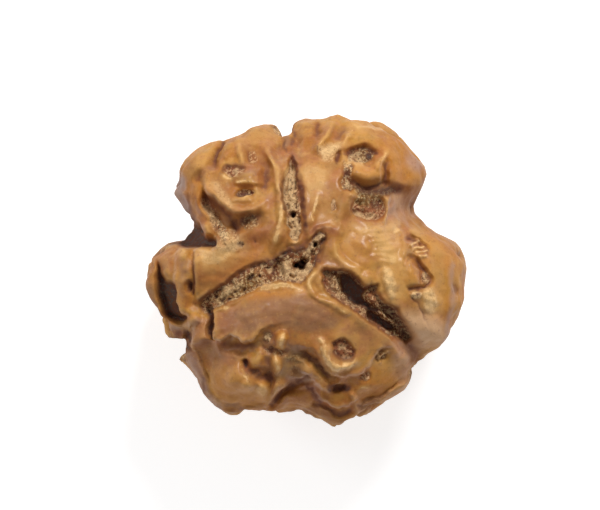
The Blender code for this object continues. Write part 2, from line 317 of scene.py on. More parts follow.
def bump(centre, half_size, height, turn=0, roundness=1.4):
    """A rounded swelling."""
    near, distance = oval(centre, half_size, turn)
    relief[near] += height * MM * np.clip(1 - distance**2, 0, None) ** roundness


def pit(centre, half_size, depth, turn=0):
    """A hollow with steep walls and a flat floor."""
    near, distance = oval(centre, half_size, turn)
    relief[near] -= depth * MM * (1 - smoothstep(0.55, 1, distance))


def paint(mask, half_width, strength, *points):
    """A patchy mark in one of the colour masks along a stroke; the masks hold the stone's own colour patches
    as well as painted shade, painted highlights and painted sheen.
    """
    near, distance, _, along_strength, _ = along(points, half_width)
    value = strength * along_strength * (1 - smoothstep(0.15, 1, distance / half_width))
    value *= 0.6 + 0.4 * patchy[near]
    masks[mask][near] = np.maximum(masks[mask][near], value)


def dab(mask, centre, half_size, strength, turn=0):
    """A mark in one of the colour masks in an oval; the masks hold the stone's own colour patches as well as
    painted shade, painted highlights and painted sheen.
    """
    near, distance = oval(centre, half_size, turn)
    masks[mask][near] = np.maximum(masks[mask][near], strength * (1 - smoothstep(0.45, 1, distance)))


def broad_forms():
    """The lobes, and the valleys between them."""
    bump((225, 175), (62, 58), 0.6)
    bump((355, 165), (70, 58), 0.6)
    bump((425, 285), (52, 66), 0.6)
    bump((285, 345), (95, 60), 0.4)
    bump((220, 270), (60, 36), 0.4)
    bump((390, 250), (48, 50), 0.2)
    hollow(24, 0.9, (392, 205, 0.2), (405, 207), (425, 208))
    hollow(20, 0.8, (300, 368, 0.3), (302, 388), (300, 420))
    hollow(16, 0.7, (288, 165, 0.2), (287, 148), (287, 130))
    hollow(36, 0.85, (286, 262, 0.5), (262, 268), (240, 280), (216, 293), (200, 300, 0.7))
    bump((240, 384), (34, 24), 0.5)
    tint("gold", 0.6, 10, (205, 262), (250, 250), (276, 236), (276, 250), (240, 276), (206, 292))
    tint("red", 0.3, 8, (216, 360), (246, 366), (262, 376), (262, 400), (240, 404), (218, 392), (208, 376))
    tint("gold", 1.0, 8, (222, 372), (246, 380), (268, 380), (270, 396), (246, 402), (226, 396), (216, 384))
    tint("gold", 0.7, 8, (384, 140), (408, 146), (420, 164), (418, 180), (400, 184), (388, 176))
    tint("gold", 0.6, 10, (424, 236), (450, 242), (460, 270), (452, 310), (430, 320), (426, 280))
    tint("gold", 0.4, 8, (336, 232), (350, 226), (362, 240), (372, 262), (360, 274), (340, 258))
    tint("gold", 0.4, 6, (356, 378), (384, 364), (398, 366), (394, 386), (370, 396), (354, 394))
    tint("mauve", 0.4, 8, (340, 316), (370, 326), (392, 344), (376, 352), (356, 346), (334, 330))
    tint("gold", 0.7, 6, (246, 284), (262, 287), (290, 286), (300, 290), (286, 296), (250, 298))
    tint("gold", 0.6, 8, (180, 178), (196, 176), (206, 190), (210, 236), (198, 226), (190, 204))
    tint("gold", 0.6, 5, (180, 282), (194, 292), (192, 306), (182, 300))
    tint("gold", 0.9, 4,
        (351, 164), (362, 166), (374, 168), (384, 156), (386, 170), (380, 180), (366, 184), (353, 178)
    )
    tint("gold", 0.5, 8, (268, 398), (296, 392), (308, 400), (296, 410), (272, 410))


def grooves_and_junction():
    # The groove at the top, its fill and its two lips, with painted shade along its walls and in the small
    # pits of its fill
    cliff(2.5, 12, 0.30, (290, 156, 0.3), (285, 172), (283, 190), (284, 212), (287, 232), (286, 243, 0.5))
    cliff(3, 14, 0.34, (308, 236, 0.5), (305, 222), (302, 202), (299, 182), (296, 164), (293, 154, 0.3))
    ridge(6, 0.30,
        (266, 146, 0.3), (272, 157), (277, 172), (279, 188), (281, 206), (281, 222), (278, 236),
        (273, 248, 0.6)
    )
    ridge(5, 0.16, (317, 194, 0.6), (314, 206), (311, 220, 0.7))
    sink(0.42, 3,
        (291, 160), (295, 166), (297, 178), (300, 192), (302, 206), (301, 218), (302, 230), (299, 241),
        (294, 243), (290, 238), (288, 228), (286, 216), (284, 204), (283, 192), (284, 181), (287, 171),
        margin=0.6, margin_width=2.5
    )
    ridge(2.5, 0.16, (290, 174), (289, 186), (291, 200), (290, 210))
    ridge(2.5, 0.12, (296, 182), (297, 196), (298, 208))
    hollow(3, 0.25, (297, 166, 0.5), (301, 184), (303, 204), (305, 226, 0.6))
    pit((293, 214), (2.8, 3.2), 0.9)
    paint("dark", 4.5, 0.85, (294, 160), (298, 176), (302, 194), (304, 210), (306, 230))
    paint("dark", 2.5, 0.7, (284, 178), (282, 192), (284, 210))
    paint("red", 8, 0.9, (294, 158), (299, 178), (304, 205), (307, 232))
    paint("red", 5, 0.7, (283, 176), (282, 195), (285, 216))
    paint("cream_and_highlight", 9, 1.6, (290, 172), (289, 190), (291, 206))
    paint("cream_and_highlight", 9, 1.5, (293, 222), (296, 240))
    dab("dark", (293, 214), (3.5, 4), 1.0)
    flecks = (
        ((285, 190), (2.5, 6)), ((295, 184), (2, 7)), ((287, 206), (2, 4)), ((297, 205), (2, 6)),
        ((290, 227), (2.5, 4)), ((296, 233), (2, 4)), ((291, 168), (2, 4)), ((299, 220), (2, 5)),
    )
    for place, size in flecks:
        pit(place, size, 0.22)
        dab("dark", place, size, 0.55)
    tufts = (((290, 184), (1.8, 8)), ((291, 196), (2, 5)), ((292, 221), (2, 3)), ((294, 239), (3, 2)))
    for place, size in tufts:
        bump(place, size, 0.14)

    # The junction of the grooves, with the canal's pore, painted shade on its walls and in the pore, and a
    # painted highlight along the ridge beside it
    cliff(3, 10, 0.25,
        (283, 252, 0.5), (294, 248), (305, 244), (311, 237), (316, 229), (326, 226), (336, 228, 0.4)
    )
    sink(0.5, 4,
        (278, 256), (288, 251), (300, 250), (308, 245), (313, 236), (320, 231), (326, 233), (325, 240),
        (320, 248), (318, 258), (315, 268), (308, 277), (300, 283), (290, 282), (280, 281), (272, 272),
        margin=0.9
    )
    ridge(4.5, 0.40, (303, 257, 0.6), (309, 250), (314, 243), (321, 235, 0.8))
    hollow(4, 0.30, (276, 256, 0.6), (290, 249), (303, 246), (310, 240, 0.6))
    hollow(4, 0.25, (324, 240, 0.5), (321, 250), (320, 262, 0.6))
    pore = (
        ((300, 264), (7.5, 4)), ((304, 260), (4.5, 4.2)),
        ((295.5, 265), (4.5, 3.4)), ((302, 268), (4, 2.6)),
    )
    for place, size in pore:
        pit(place, size, 0.9)
    pit((314.5, 244), (3, 3.6), 0.9, turn=35)
    pit((293, 276), (3, 2), 0.3)
    paint("dark", 7, 0.9, (262, 265, 0.6), (277, 257), (290, 250), (304, 247), (310, 241, 0.6))
    paint("dark", 5, 0.6, (312, 234), (318, 227), (326, 228), (336, 231, 0.5))
    paint("red", 7, 0.8, (314, 232), (322, 226), (336, 231))
    paint("dark", 6, 0.75, (323, 240), (320, 251), (319, 262))
    paint("red", 7, 0.5, (325, 250), (326, 262), (338, 268))
    paint("cream_and_highlight", 9, 0.9, (284, 268), (290, 274), (300, 276), (309, 271))
    paint("red", 6, 0.4, (296, 278), (306, 274))
    paint("cream_and_highlight", 5, 0.9, (306, 253), (314, 243), (321, 234))
    dab("dark", (300, 264), (9, 5.5), 1.0)
    dab("dark", (314.5, 244), (3, 4), 1.0, turn=35)
    dab("cream_and_highlight", (329, 227), (5, 2.5), 0.7)

    # The groove to the lower left, with painted shade under its upper wall and in the pits of its fill
    cliff(3.5, 14, 0.40,
        (198, 297, 0.4), (214, 291), (228, 284), (240, 275), (250, 268), (262, 262), (276, 256),
        (284, 251, 0.6)
    )
    cliff(3, 12, 0.30,
        (300, 284, 0.4), (288, 283), (275, 284), (262, 287), (250, 293), (236, 302), (222, 307),
        (212, 313, 0.6)
    )
    sink(0.5, 5,
        (276, 257), (262, 262), (250, 267), (240, 273), (230, 281), (216, 290), (204, 297), (201, 306),
        (203, 313), (208, 315), (214, 309), (222, 306), (236, 301), (248, 293), (262, 286), (275, 282),
        (286, 276), margin=0.5
    )
    hollow(5, 0.30, (262, 264, 0.7), (248, 270), (236, 279), (224, 288), (212, 294, 0.7))
    bump((230, 294), (14, 9), 0.15, turn=-30)
    paint("dark", 6, 0.72, (276, 257), (262, 262), (250, 267), (240, 273), (229, 281), (215, 291), (203, 298))
    tint("red", 0.6, 5, (216, 286), (240, 268), (262, 256), (268, 262), (246, 272), (226, 286), (206, 296))
    paint("dark", 3, 0.4, (282, 280), (266, 286), (252, 292), (238, 301), (222, 307))
    paint("olive", 11, 1.0, (262, 275, 0.7), (246, 284), (232, 293), (216, 300, 0.8))
    paint("cream_and_highlight", 6, 0.6, (238, 286), (228, 292), (219, 301))
    dab("cream_and_highlight", (226, 288), (5, 3), 1.0)
    flecks = (
        ((222, 300), (4, 2.5)), ((234, 292), (3, 2)), ((244, 289), (4, 2)), ((250, 278), (5, 2.5)),
        ((259, 277), (3, 2)), ((267, 268), (3, 2)), ((229, 301), (3, 1.8)), ((216, 297), (3, 2)),
    )
    for place, size in flecks:
        pit(place, size, 0.18, turn=-30)
        dab("dark", place, size, 0.8, turn=-30)
    dab("cream_and_highlight", (226, 307), (6, 3), 0.9)
    dab("cream_and_highlight", (270, 270), (4, 6), 0.8)
    dab("dark", (250, 278), (9, 5), 0.35, turn=-30)
    dab("dark", (271, 263), (4, 3), 0.8)
    paint("red", 8, 0.7, (276, 268), (262, 276))
    paint("red", 7, 0.6, (212, 303), (204, 310))
    tint("mauve", 0.8, 4, (200, 296), (212, 296), (216, 304), (208, 314), (201, 312))
    dab("dark", (207, 297), (4, 3), 0.7)
    dab("dark", (209, 306), (3, 3), 0.6)

    # The groove to the lower right: the widest, broken open into cavities filled with painted shade, with
    # painted highlights and a painted sheen on the thin ridges inside, and painted shade in the valley at its
    # end
    cliff(3, 12, 0.30,
        (412, 338, 0.3), (405, 326), (400, 314), (392, 305), (382, 299), (377, 288), (366, 287), (356, 278),
        (346, 272), (332, 269, 0.5)
    )
    cliff(2.5, 11, 0.30,
        (321, 270, 0.4), (322, 282), (328, 292), (340, 302), (352, 310), (364, 318), (376, 326), (386, 335),
        (400, 338, 0.5)
    )
    sink(0.65, 4,
        (322, 272), (330, 270), (340, 270), (348, 273), (356, 278), (363, 284), (369, 287), (374, 285),
        (378, 286), (378, 292), (382, 299), (388, 304), (396, 308), (400, 316), (405, 325), (411, 335),
        (407, 340), (398, 338), (390, 336), (382, 331), (372, 323), (360, 315), (348, 307), (338, 300),
        (329, 293), (324, 283), margin=0.7
    )
    sink(0.9, 6,
        (339, 276), (348, 275), (356, 281), (363, 287), (370, 291), (366, 295), (364, 301), (370, 305),
        (378, 308), (374, 311), (362, 309), (352, 303), (345, 295), (340, 286), fibre=0.1, margin=0
    )
    sink(0.7, 4,
        (366, 312), (374, 312), (383, 317), (390, 323), (396, 330), (390, 331), (380, 327), (372, 321),
        fibre=0, margin=0
    )
    hollow(8, 0.30, (386, 310), (396, 321), (405, 334, 0.6))
    ridge(2.2, 0.55, (356, 306, 0.3), (364, 308), (373, 309), (383, 314), (391, 322, 0.5))
    ridge(4, 0.45, (364, 289, 0.5), (370, 296), (377, 303, 0.6))
    ridge(2.4, 0.6, (377, 320, 0.7), (381, 326), (386, 331, 0.7))
    crease(2.5, 0.25, (372, 284), (375, 288), (378, 284))
    hollow(14, 0.8, (400, 332, 0.4), (407, 343), (413, 355), (418, 368, 0.7))
    tint("dark", 1.0, 2.5,
        (342, 274), (350, 276), (358, 283), (366, 290), (364, 300), (372, 306), (380, 309), (374, 312),
        (362, 309), (352, 303), (345, 295), (341, 285)
    )
    tint("dark", 1.0, 2, (368, 312), (376, 313), (386, 320), (394, 328), (388, 330), (378, 325))
    for colour_mark, strength in (("dark", 0.62), ("mauve", 0.6)):
        tint(colour_mark, strength, 4,
            (378, 303), (390, 306), (399, 314), (405, 328), (410, 338), (400, 336), (392, 322), (384, 312)
        )
    paint("dark", 4, 0.75, (336, 271), (348, 274), (358, 281), (366, 287), (372, 288))
    paint("red", 6, 0.9, (325, 280), (330, 291), (342, 301), (356, 311), (370, 321), (384, 332))
    paint("red", 6, 0.6, (350, 273), (362, 283), (380, 297), (398, 310), (406, 326))
    paint("cream_and_highlight", 5, 0.3, (331, 278), (334, 290), (342, 298), (354, 306))
    paint("dark", 5, 0.4, (328, 276), (333, 290), (344, 301), (356, 309))
    dab("fibre", (371, 297), (5, 8), 0.9, turn=-40)
    dab("red", (371, 297), (5, 8), 0.6, turn=-40)
    paint("painted_light", 2.4, 1.0, (360, 307), (372, 309), (382, 314))
    dab("cream_and_highlight", (380, 323), (2.5, 3), 1.0)
    dab("cream_and_highlight", (385, 331), (3, 2.5), 1.0)
    paint("mauve", 8, 0.5, (396, 318), (406, 338), (412, 352))
    for colour_mark, strength in (("dark", 0.5), ("red", 0.5)):
        tint(colour_mark, strength, 6, (402, 340), (412, 342), (420, 352), (420, 364), (412, 366), (406, 352))

    # The bright facet between the junction and that groove, with painted highlights along its crests and
    # along the lip of the lower left groove
    ridge(5, 0.26,
        (326, 264, 0.3), (318, 270), (311, 278), (308, 285), (312, 293), (320, 299), (332, 304),
        (348, 312, 0.6)
    )
    ridge(6, 0.28, (262, 288, 0.4), (274, 287), (289, 285, 0.5))
    ridge(3, 0.18, (292, 287, 0.6), (300, 289, 0.5))
    bump((317, 284), (9, 13), 0.12)
    paint("cream_and_highlight", 2.8, 1.2, (316, 272), (309, 281), (309, 288))
    paint("cream_and_highlight", 2.5, 0.9, (320, 300), (332, 305), (346, 311))
    paint("cream_and_highlight", 6, 1.3, (262, 288), (274, 286), (290, 285))
    paint("cream_and_highlight", 4, 1.0, (294, 288), (298, 290))
    paint("mauve", 10, 0.5, (322, 264), (336, 264), (346, 268))


def upper_left_lobe():
    # The outer bump, the creased shoulder and the folds inside it, with painted shade in the crease and the
    # slit, and painted highlights on the ridges
    bump((195, 163), (21, 21), 0.75)
    bump((236, 150), (16, 14), 0.30)
    bump((264, 136), (24, 15), 0.35)
    bump((215, 148), (14, 7), 0.15, turn=-20)
    crease(6.5, 0.80, (227, 141, 0.4), (223, 148), (218, 156), (214, 164, 0.5))
    ridge(5, 0.15, (233, 146), (228, 158))
    hollow(7, 0.35, (214, 165), (205, 171), (199, 180))
    hollow(7, 0.30, (248, 146, 0.4), (250, 158), (252, 168, 0.6))
    hollow(6, 0.28, (257, 152, 0.4), (258, 164), (260, 172, 0.6))
    ridge(5, 0.25, (240, 144), (243, 161))
    ridge(3, 0.12, (252, 150), (254, 166))
    hollow(7, 0.50, (263, 154, 0.3), (266, 170), (264, 186, 0.8))
    paint("dark", 4, 0.7, (225, 146), (219, 155), (215, 162))
    paint("mauve", 7, 0.8, (214, 165), (205, 171), (199, 180))
    tint("cream_and_highlight", 0.7, 9, (238, 136), (262, 126), (278, 130), (274, 146), (250, 150), (238, 148))
    paint("cream_and_highlight", 9, 0.6, (190, 176), (196, 168), (208, 152, 0.7))
    paint("cream_and_highlight", 5, 0.8, (240, 148), (243, 160))
    paint("cream_and_highlight", 5, 0.5, (258, 152), (262, 158))
    paint("dark", 5, 0.7, (265, 166, 0.2), (267, 176), (265, 185, 0.8))
    paint("red", 8, 0.6, (249, 148), (252, 168))
    dab("fibre", (254, 158), (7, 9), 0.5)
    paint("red", 12, 0.7, (261, 156), (262, 184))
    tint("red", 0.35, 8, (236, 214), (262, 206), (272, 214), (272, 236), (258, 248), (244, 240))

    # The bowl: its rim, the rough pit, the ledge and the pit below it, with painted shade in the pits and
    # painted highlights along the ledge and the ridge under it
    hollow(20, 0.25, (232, 184), (244, 187))
    ridge(6, 0.30,
        (214, 166, 0.4), (206, 174), (208, 186), (215, 196), (224, 205), (234, 210), (250, 210),
        (262, 204, 0.4)
    )
    pit((234, 172), (13, 7.5), 0.32, turn=-5)
    bump((246, 177), (15, 8), 0.34)
    cliff(2, 7, 0.45, (260, 185, 0.6), (248, 185), (235, 184, 0.7))
    pit((245, 193), (12, 5), 0.38)
    ridge(4, 0.26, (233, 200), (250, 200))
    dab("fibre", (234, 172), (14, 8), 0.8)
    dab("red", (234, 171), (14, 8), 0.8)
    dab("dark", (234, 172), (13, 7), 0.35)
    paint("dark", 4, 0.6, (221, 174), (227, 168), (236, 166), (244, 169))
    paint("cream_and_highlight", 2, 0.9, (238, 168), (237, 177))
    paint("cream_and_highlight", 5, 0.9, (222, 177), (230, 179))
    paint("olive", 5, 0.7, (240, 178), (254, 173))
    paint("cream_and_highlight", 2.6, 1.4, (236, 182), (251, 182))
    dab("fibre", (246, 193), (13, 6), 0.7)
    dab("dark", (243, 194), (11, 4), 0.8)
    tint("gold", 0.9, 2, (235, 184), (256, 184), (254, 190), (237, 190))
    paint("red", 3.5, 0.9, (238, 186), (252, 187))
    paint("cream_and_highlight", 2.5, 0.9, (237, 198), (250, 198))
    paint("cream_and_highlight", 3, 0.7, (256, 191), (260, 196))
    tint("cream_and_highlight", 0.75, 4,
        (207, 172), (216, 172), (222, 184), (228, 196), (236, 206), (230, 210), (220, 202), (212, 192),
        (207, 182)
    )
    tint("fibre", 0.45, 4, (212, 180), (222, 182), (230, 196), (236, 208), (228, 208), (216, 196))

    # The lip over the pocket, the crevice, and the rough patch beside it, with painted shade in the crevice
    # and a painted shadow under the lip
    cliff(3, 9, 0.45,
        (262, 212, 0.3), (250, 213), (236, 214), (228, 210), (218, 202), (208, 193), (201, 187, 0.3)
    )
    sink(0.50, 9,
        (203, 194), (210, 196), (219, 203), (228, 212), (236, 222), (239, 230), (236, 236), (229, 230),
        (222, 222), (214, 213), (206, 203), fibre=0.1, margin=0
    )
    hollow(10, 0.50, (240, 224), (248, 221), (256, 218, 0.7))
    hollow(7, 0.25, (204, 202), (212, 214), (222, 228, 0.6))
    tint("dark", 0.78, 7,
        (212, 196), (220, 203), (230, 212), (237, 222), (240, 231), (235, 234), (228, 225), (221, 215),
        (214, 206)
    )
    tint("dark", 0.4, 5, (202, 190), (210, 196), (216, 206), (212, 212), (204, 202))
    tint("fibre", 0.8, 3,
        (202, 198), (208, 202), (215, 213), (223, 224), (231, 238), (226, 243), (216, 230), (208, 218),
        (203, 208)
    )
    tint("red", 0.8, 3, (202, 192), (210, 198), (216, 208), (210, 214), (203, 206))
    paint("dark", 9, 0.7, (238, 221), (247, 217), (256, 215, 0.8))
    paint("red", 8, 0.7, (232, 211), (244, 209), (258, 208))
    tint("fibre", 0.8, 3, (241, 218), (257, 214), (257, 226), (246, 229))
    tint("olive", 0.8, 3, (244, 218), (257, 216), (256, 227), (246, 228))
    paint("cream_and_highlight", 5, 0.8, (222, 234), (228, 238), (232, 232))

    # The outer strip with its lit facets, and the grey fin at the outline: painted highlights on the facets,
    # painted shade beside the strip, and a painted lavender sheen on the fin
    ridge(7, 0.50, (196, 182, 0.3), (197, 196), (200, 209), (204, 220), (209, 232, 0.8))
    bump((211, 217), (8, 7), 0.18)
    bump((210, 230), (8, 8), 0.35)
    paint("cream_and_highlight", 7, 0.8, (206, 210), (211, 219), (212, 230))
    paint("mauve", 9, 1.0, (178, 184), (177, 196), (184, 210), (190, 220))
    paint("painted_lilac_sheen", 10, 1.3, (181, 182), (179, 194), (185, 208), (191, 222))
    paint("mauve", 6, 0.8, (197, 178), (195, 188))
    paint("dark", 5, 0.6, (190, 196), (191, 212), (196, 224))
    paint("red", 5, 0.7, (197, 196), (200, 210), (205, 224), (208, 237))


def left_face():
    # The deep gap at the left, down into the stone, filled with painted shade
    sink(1.6, 7,
        (186, 226), (195, 223), (202, 228), (206, 237), (215, 241), (214, 247), (200, 248), (186, 246),
        (176, 240), fibre=0, margin=0
    )
    tint("dark", 1.0, 3,
        (184, 226), (194, 222), (202, 228), (206, 238), (216, 241), (214, 247), (200, 248), (184, 246),
        (172, 240)
    )

    # The slab with its crisp corner, and the speckled lumps above it, with painted shade in their two small
    # pits
    cliff(2.5, 14, 0.50,
        (195, 292, 0.5), (195, 274), (195, 260), (196, 250), (206, 248), (216, 246), (222, 242, 0.3)
    )
    ridge(5, 0.18, (214, 245), (222, 238), (230, 232))
    bump((228, 244), (11, 8), 0.18)
    pit((240, 245), (3.4, 3.4), 0.22)
    pit((255, 241), (1.8, 1.8), 0.15)
    hollow(14, 0.25, (262, 230), (250, 246))
    tint("cream_and_highlight", 0.9, 9,
        (194, 247), (214, 245), (226, 242), (238, 238), (244, 246), (236, 258), (220, 268), (202, 270)
    )
    tint("fibre", 0.5, 3, (214, 246), (226, 230), (236, 230), (243, 244), (236, 252), (222, 252))
    tint("red", 0.5, 5, (197, 272), (214, 268), (230, 258), (246, 258), (236, 272), (220, 282), (200, 290))
    dab("dark", (240, 245), (4, 4), 0.5)
    dab("fibre", (240, 245), (4.5, 4.5), 0.9)
    dab("dark", (255, 241), (2, 2), 0.6)
    paint("mauve", 8, 0.5, (240, 238), (246, 250))
    paint("olive", 6, 0.5, (200, 290), (216, 284))

    # The knob, the strip and the hook at the far left, the outer ridge and the trough: painted shade in the
    # trough and the slits, painted highlights on the knob and the outer ridge, and a painted sheen along the
    # rims
    ridge(8, 0.50, (184, 246, 0.8), (185, 258), (186, 272), (186, 290), (188, 304), (194, 318, 0.7))
    bump((185, 252), (8.5, 9), 0.35)
    hollow(7, 0.12, (185, 264), (186, 276))
    crease(2.8, 0.35, (195, 254, 0.7), (195, 268), (194, 282), (194, 294))
    pit((191, 286), (2.4, 6.5), 0.6)
    cliff(2.5, 7, 0.40, (190, 324, 0.7), (183, 312), (178, 298), (178, 282), (177, 264), (178, 248, 0.6))
    bump((170, 266), (7.5, 15), 0.45)
    cliff(2, 6, 0.35, (178, 282, 0.6), (171, 281), (166, 274), (165, 262, 0.5))
    ridge(13, 0.55, (166, 247, 0.4), (156, 258), (153, 276), (154, 296), (162, 314), (172, 332, 0.5))
    sink(0.9, 7,
        (164, 266), (168, 276), (173, 283), (178, 284), (178, 296), (181, 308), (186, 319), (179, 322),
        (171, 314), (165, 300), (162, 282), fibre=0, margin=0
    )
    ridge(7, 0.40, (156, 326), (170, 327), (184, 326), (197, 320, 0.7))
    hollow(8, 0.50, (176, 333), (192, 333))
    hollow(7, 0.80, (192, 334), (190, 346))
    tint("dark", 0.98, 3,
        (164, 266), (169, 280), (178, 283), (178, 297), (181, 310), (186, 320), (178, 321), (170, 311),
        (164, 298), (162, 282)
    )
    tint("red", 0.5, 5, (148, 280), (162, 276), (164, 300), (176, 320), (164, 322), (154, 306))
    tint("dark", 0.3, 5, (148, 284), (162, 280), (164, 300), (176, 320), (164, 322), (154, 306))
    paint("mauve", 7, 0.8, (170, 258), (172, 276))
    paint("mauve", 7, 0.9, (185, 264), (186, 280))
    paint("red", 6, 0.7, (186, 286), (187, 302))
    paint("painted_light", 2, 0.7, (177, 250), (177, 270), (178, 290), (181, 306), (188, 318))
    paint("painted_light", 1.6, 0.5, (195, 260), (195, 288))
    paint("painted_lilac_sheen", 5, 0.45, (166, 325), (178, 327), (198, 321))
    paint("painted_lilac_sheen", 9, 0.5, (151, 286), (156, 304), (164, 322))
    paint("mauve", 9, 0.8, (160, 318), (168, 330), (184, 334))
    paint("dark", 3, 0.9, (191, 280), (191, 292))
    paint("red", 8, 0.8, (168, 334), (184, 334))
    paint("dark", 6, 0.6, (170, 334), (182, 334))
    paint("dark", 6, 0.95, (188, 330), (193, 336), (191, 347))
    paint("cream_and_highlight", 5, 0.8, (183, 248), (184, 257))
    paint("cream_and_highlight", 3, 0.7, (158, 262), (161, 270))

    # The notch at the lower left: the slit and the grey block, with painted shade in the slit and a painted
    # sheen along the block's edge
    hollow(4, 0.8, (208, 308, 0.5), (211, 320), (214, 336, 0.8), roundness=0.8)
    bump((203, 334), (9, 14), 0.35)
    cliff(2, 6, 0.25, (197, 348, 0.6), (196, 336), (196, 324), (204, 320, 0.5))
    tint("mauve", 0.6, 4, (196, 322), (208, 320), (211, 334), (208, 348), (197, 348))
    tint("red", 0.5, 4, (196, 322), (208, 320), (211, 334), (208, 344), (197, 344))
    paint("painted_light", 2, 0.5, (197, 344), (197, 324), (206, 321))
    paint("dark", 4.5, 1.0, (208, 310), (211, 322), (214, 336))


def lower_face():
    # The slab and its thin, wavy lip, with a painted sheen along the lip and a painted shadow under it
    bump((290, 308), (66, 24), 0.30)
    cliff(2.2, 18, 0.60,
        (284, 322, 0.1), (268, 326, 0.5), (260, 330), (256, 337), (252, 341), (246, 341), (239, 338),
        (232, 336), (226, 338), (220, 340), (216, 336), (215, 326), (213, 314, 0.7)
    )
    bump((222, 309), (8, 4), 0.12)
    hollow(9, 0.5, (226, 346, 0.7), (240, 348), (252, 347, 0.6))
    hollow(3, 0.03, (240, 322), (270, 316), (292, 318))
    hollow(3, 0.03, (290, 308), (310, 312), (330, 320))
    tint("mauve", 0.85, 6,
        (220, 318), (250, 302), (290, 292), (318, 304), (340, 318), (330, 330), (300, 332), (270, 324),
        (250, 334), (224, 334)
    )
    tint("red", 0.5, 5, (214, 312), (228, 312), (232, 330), (218, 336))
    paint("painted_light", 2, 0.6, (216, 336), (221, 340), (232, 336), (240, 338), (248, 341), (255, 338))
    paint("cream_and_highlight", 4, 0.7, (220, 308), (228, 308))
    paint("dark", 8, 0.6, (226, 343), (240, 346), (250, 347))
    dab("dark", (305, 323), (4, 2), 0.3)

    # The rough pit and the three drops, with painted highlights on the drops and painted shade at their feet
    # and in the hollow below them
    pit((267, 337), (6.5, 9), 0.16)
    hollow(6, 0.35, (262, 343, 0.6), (268, 350), (278, 352), (288, 350, 0.5))
    bump((281, 339), (7.5, 10.5), 0.75, turn=6, roundness=0.8)
    bump((276.5, 362), (5.5, 12), 0.62, turn=0, roundness=0.7)
    bump((257, 359), (8, 10), 0.32, turn=15, roundness=0.7)
    hollow(7, 0.40, (245, 366, 0.8), (256, 373), (268, 374), (276, 376, 0.5), roundness=1.0)
    pit((246, 364), (3.4, 5.5), 0.30)
    hollow(9, 0.20, (290, 356), (296, 368))
    dab("fibre", (267, 337), (6, 9), 0.7)
    dab("mauve", (267, 338), (8, 11), 0.9)
    dab("cream_and_highlight", (266, 335), (4, 6), 0.8)
    paint("dark", 3, 0.55, (261, 342), (265, 349), (273, 351))
    paint("fibre", 9, 0.5, (268, 351), (284, 353), (296, 360), (294, 372))
    paint("fibre", 8, 0.4, (248, 374), (266, 372), (278, 374))
    tint("olive", 0.7, 5, (284, 352), (302, 352), (306, 366), (296, 376), (282, 374))
    paint("red", 4, 0.9, (275, 334), (275, 344))
    dab("dark", (272, 349), (4, 3), 0.7)
    dab("dark", (286, 349), (4, 3), 0.5)
    tint("mauve", 0.8, 5, (258, 344), (300, 344), (302, 368), (282, 372), (266, 366), (266, 352))
    paint("dark", 8, 0.8, (248, 368), (258, 373), (274, 375))
    dab("dark", (246, 364), (4, 7), 0.9)
    dab("olive", (256, 357), (7, 9), 0.7)
    dab("gold", (281, 340), (8, 11), 1.0)
    dab("gold", (277, 362), (6, 12), 1.0)
    dab("gold", (257, 360), (8, 10), 0.9)
    paint("cream_and_highlight", 3.5, 1.4, (283, 333), (281.5, 339), (281, 345))
    paint("cream_and_highlight", 3, 1.3, (276, 355), (277, 367))
    paint("cream_and_highlight", 3, 0.4, (260, 354), (257, 362))
    paint("red", 3, 0.8, (273, 372), (270, 378))

    # The cheek, its rim, and the band outside it, with painted highlights on the cheek, a painted sheen along
    # the rim and on the band, and painted shade in the crease and under the rim
    bump((240, 378), (36, 27), 0.60)
    bump((264, 389), (9, 12), 0.55)
    bump((247, 385), (8, 8), 0.34)
    bump((234, 376), (8, 8), 0.12)
    bump((228, 352), (24, 8), 0.12)
    cliff(3, 9, 0.40,
        (195, 342, 0.5), (198, 356), (204, 371), (208, 385), (216, 396), (228, 402), (242, 405), (256, 405),
        (267, 401, 0.5)
    )
    crease(4, 0.30, (200, 372, 0.3), (205, 384), (209, 394, 0.5))
    hollow(5, 0.40, (224, 402), (236, 406), (246, 408, 0.5))
    ridge(8, 0.25, (184, 356), (192, 370), (200, 390))
    bump((234, 412), (13, 7), 0.25)
    tint("mauve", 0.6, 6, (196, 345), (214, 345), (244, 354), (226, 364), (206, 362))
    for colour_mark, strength in (("mauve", 0.7), ("red", 0.25)):
        tint(colour_mark, strength, 4,
            (180, 354), (194, 348), (204, 370), (208, 386), (228, 404), (246, 410), (226, 420),
            (200, 400), (186, 372)
        )
    paint("painted_lilac_sheen", 8, 0.6, (188, 354), (196, 372), (206, 392), (220, 406))
    paint("painted_light", 2.5, 0.5,
        (197, 348), (203, 366), (208, 384), (216, 395), (230, 402), (250, 405), (266, 402)
    )
    paint("dark", 4, 0.65, (203, 376), (207, 386), (212, 394))
    paint("dark", 4, 0.6, (228, 402), (236, 404), (246, 407))
    paint("cream_and_highlight", 6, 0.5, (231, 370), (236, 381))
    paint("cream_and_highlight", 5, 0.8, (244, 383), (251, 388))
    dab("cream_and_highlight", (262, 387), (11, 9), 0.85)
    tint("cream_and_highlight", 0.3, 10, (226, 370), (246, 378), (268, 380), (270, 396), (246, 402), (226, 394))
    paint("cream_and_highlight", 4, 0.9, (240, 366), (246, 376), (250, 388))
    paint("red", 8, 0.5, (224, 378), (232, 392), (250, 396))

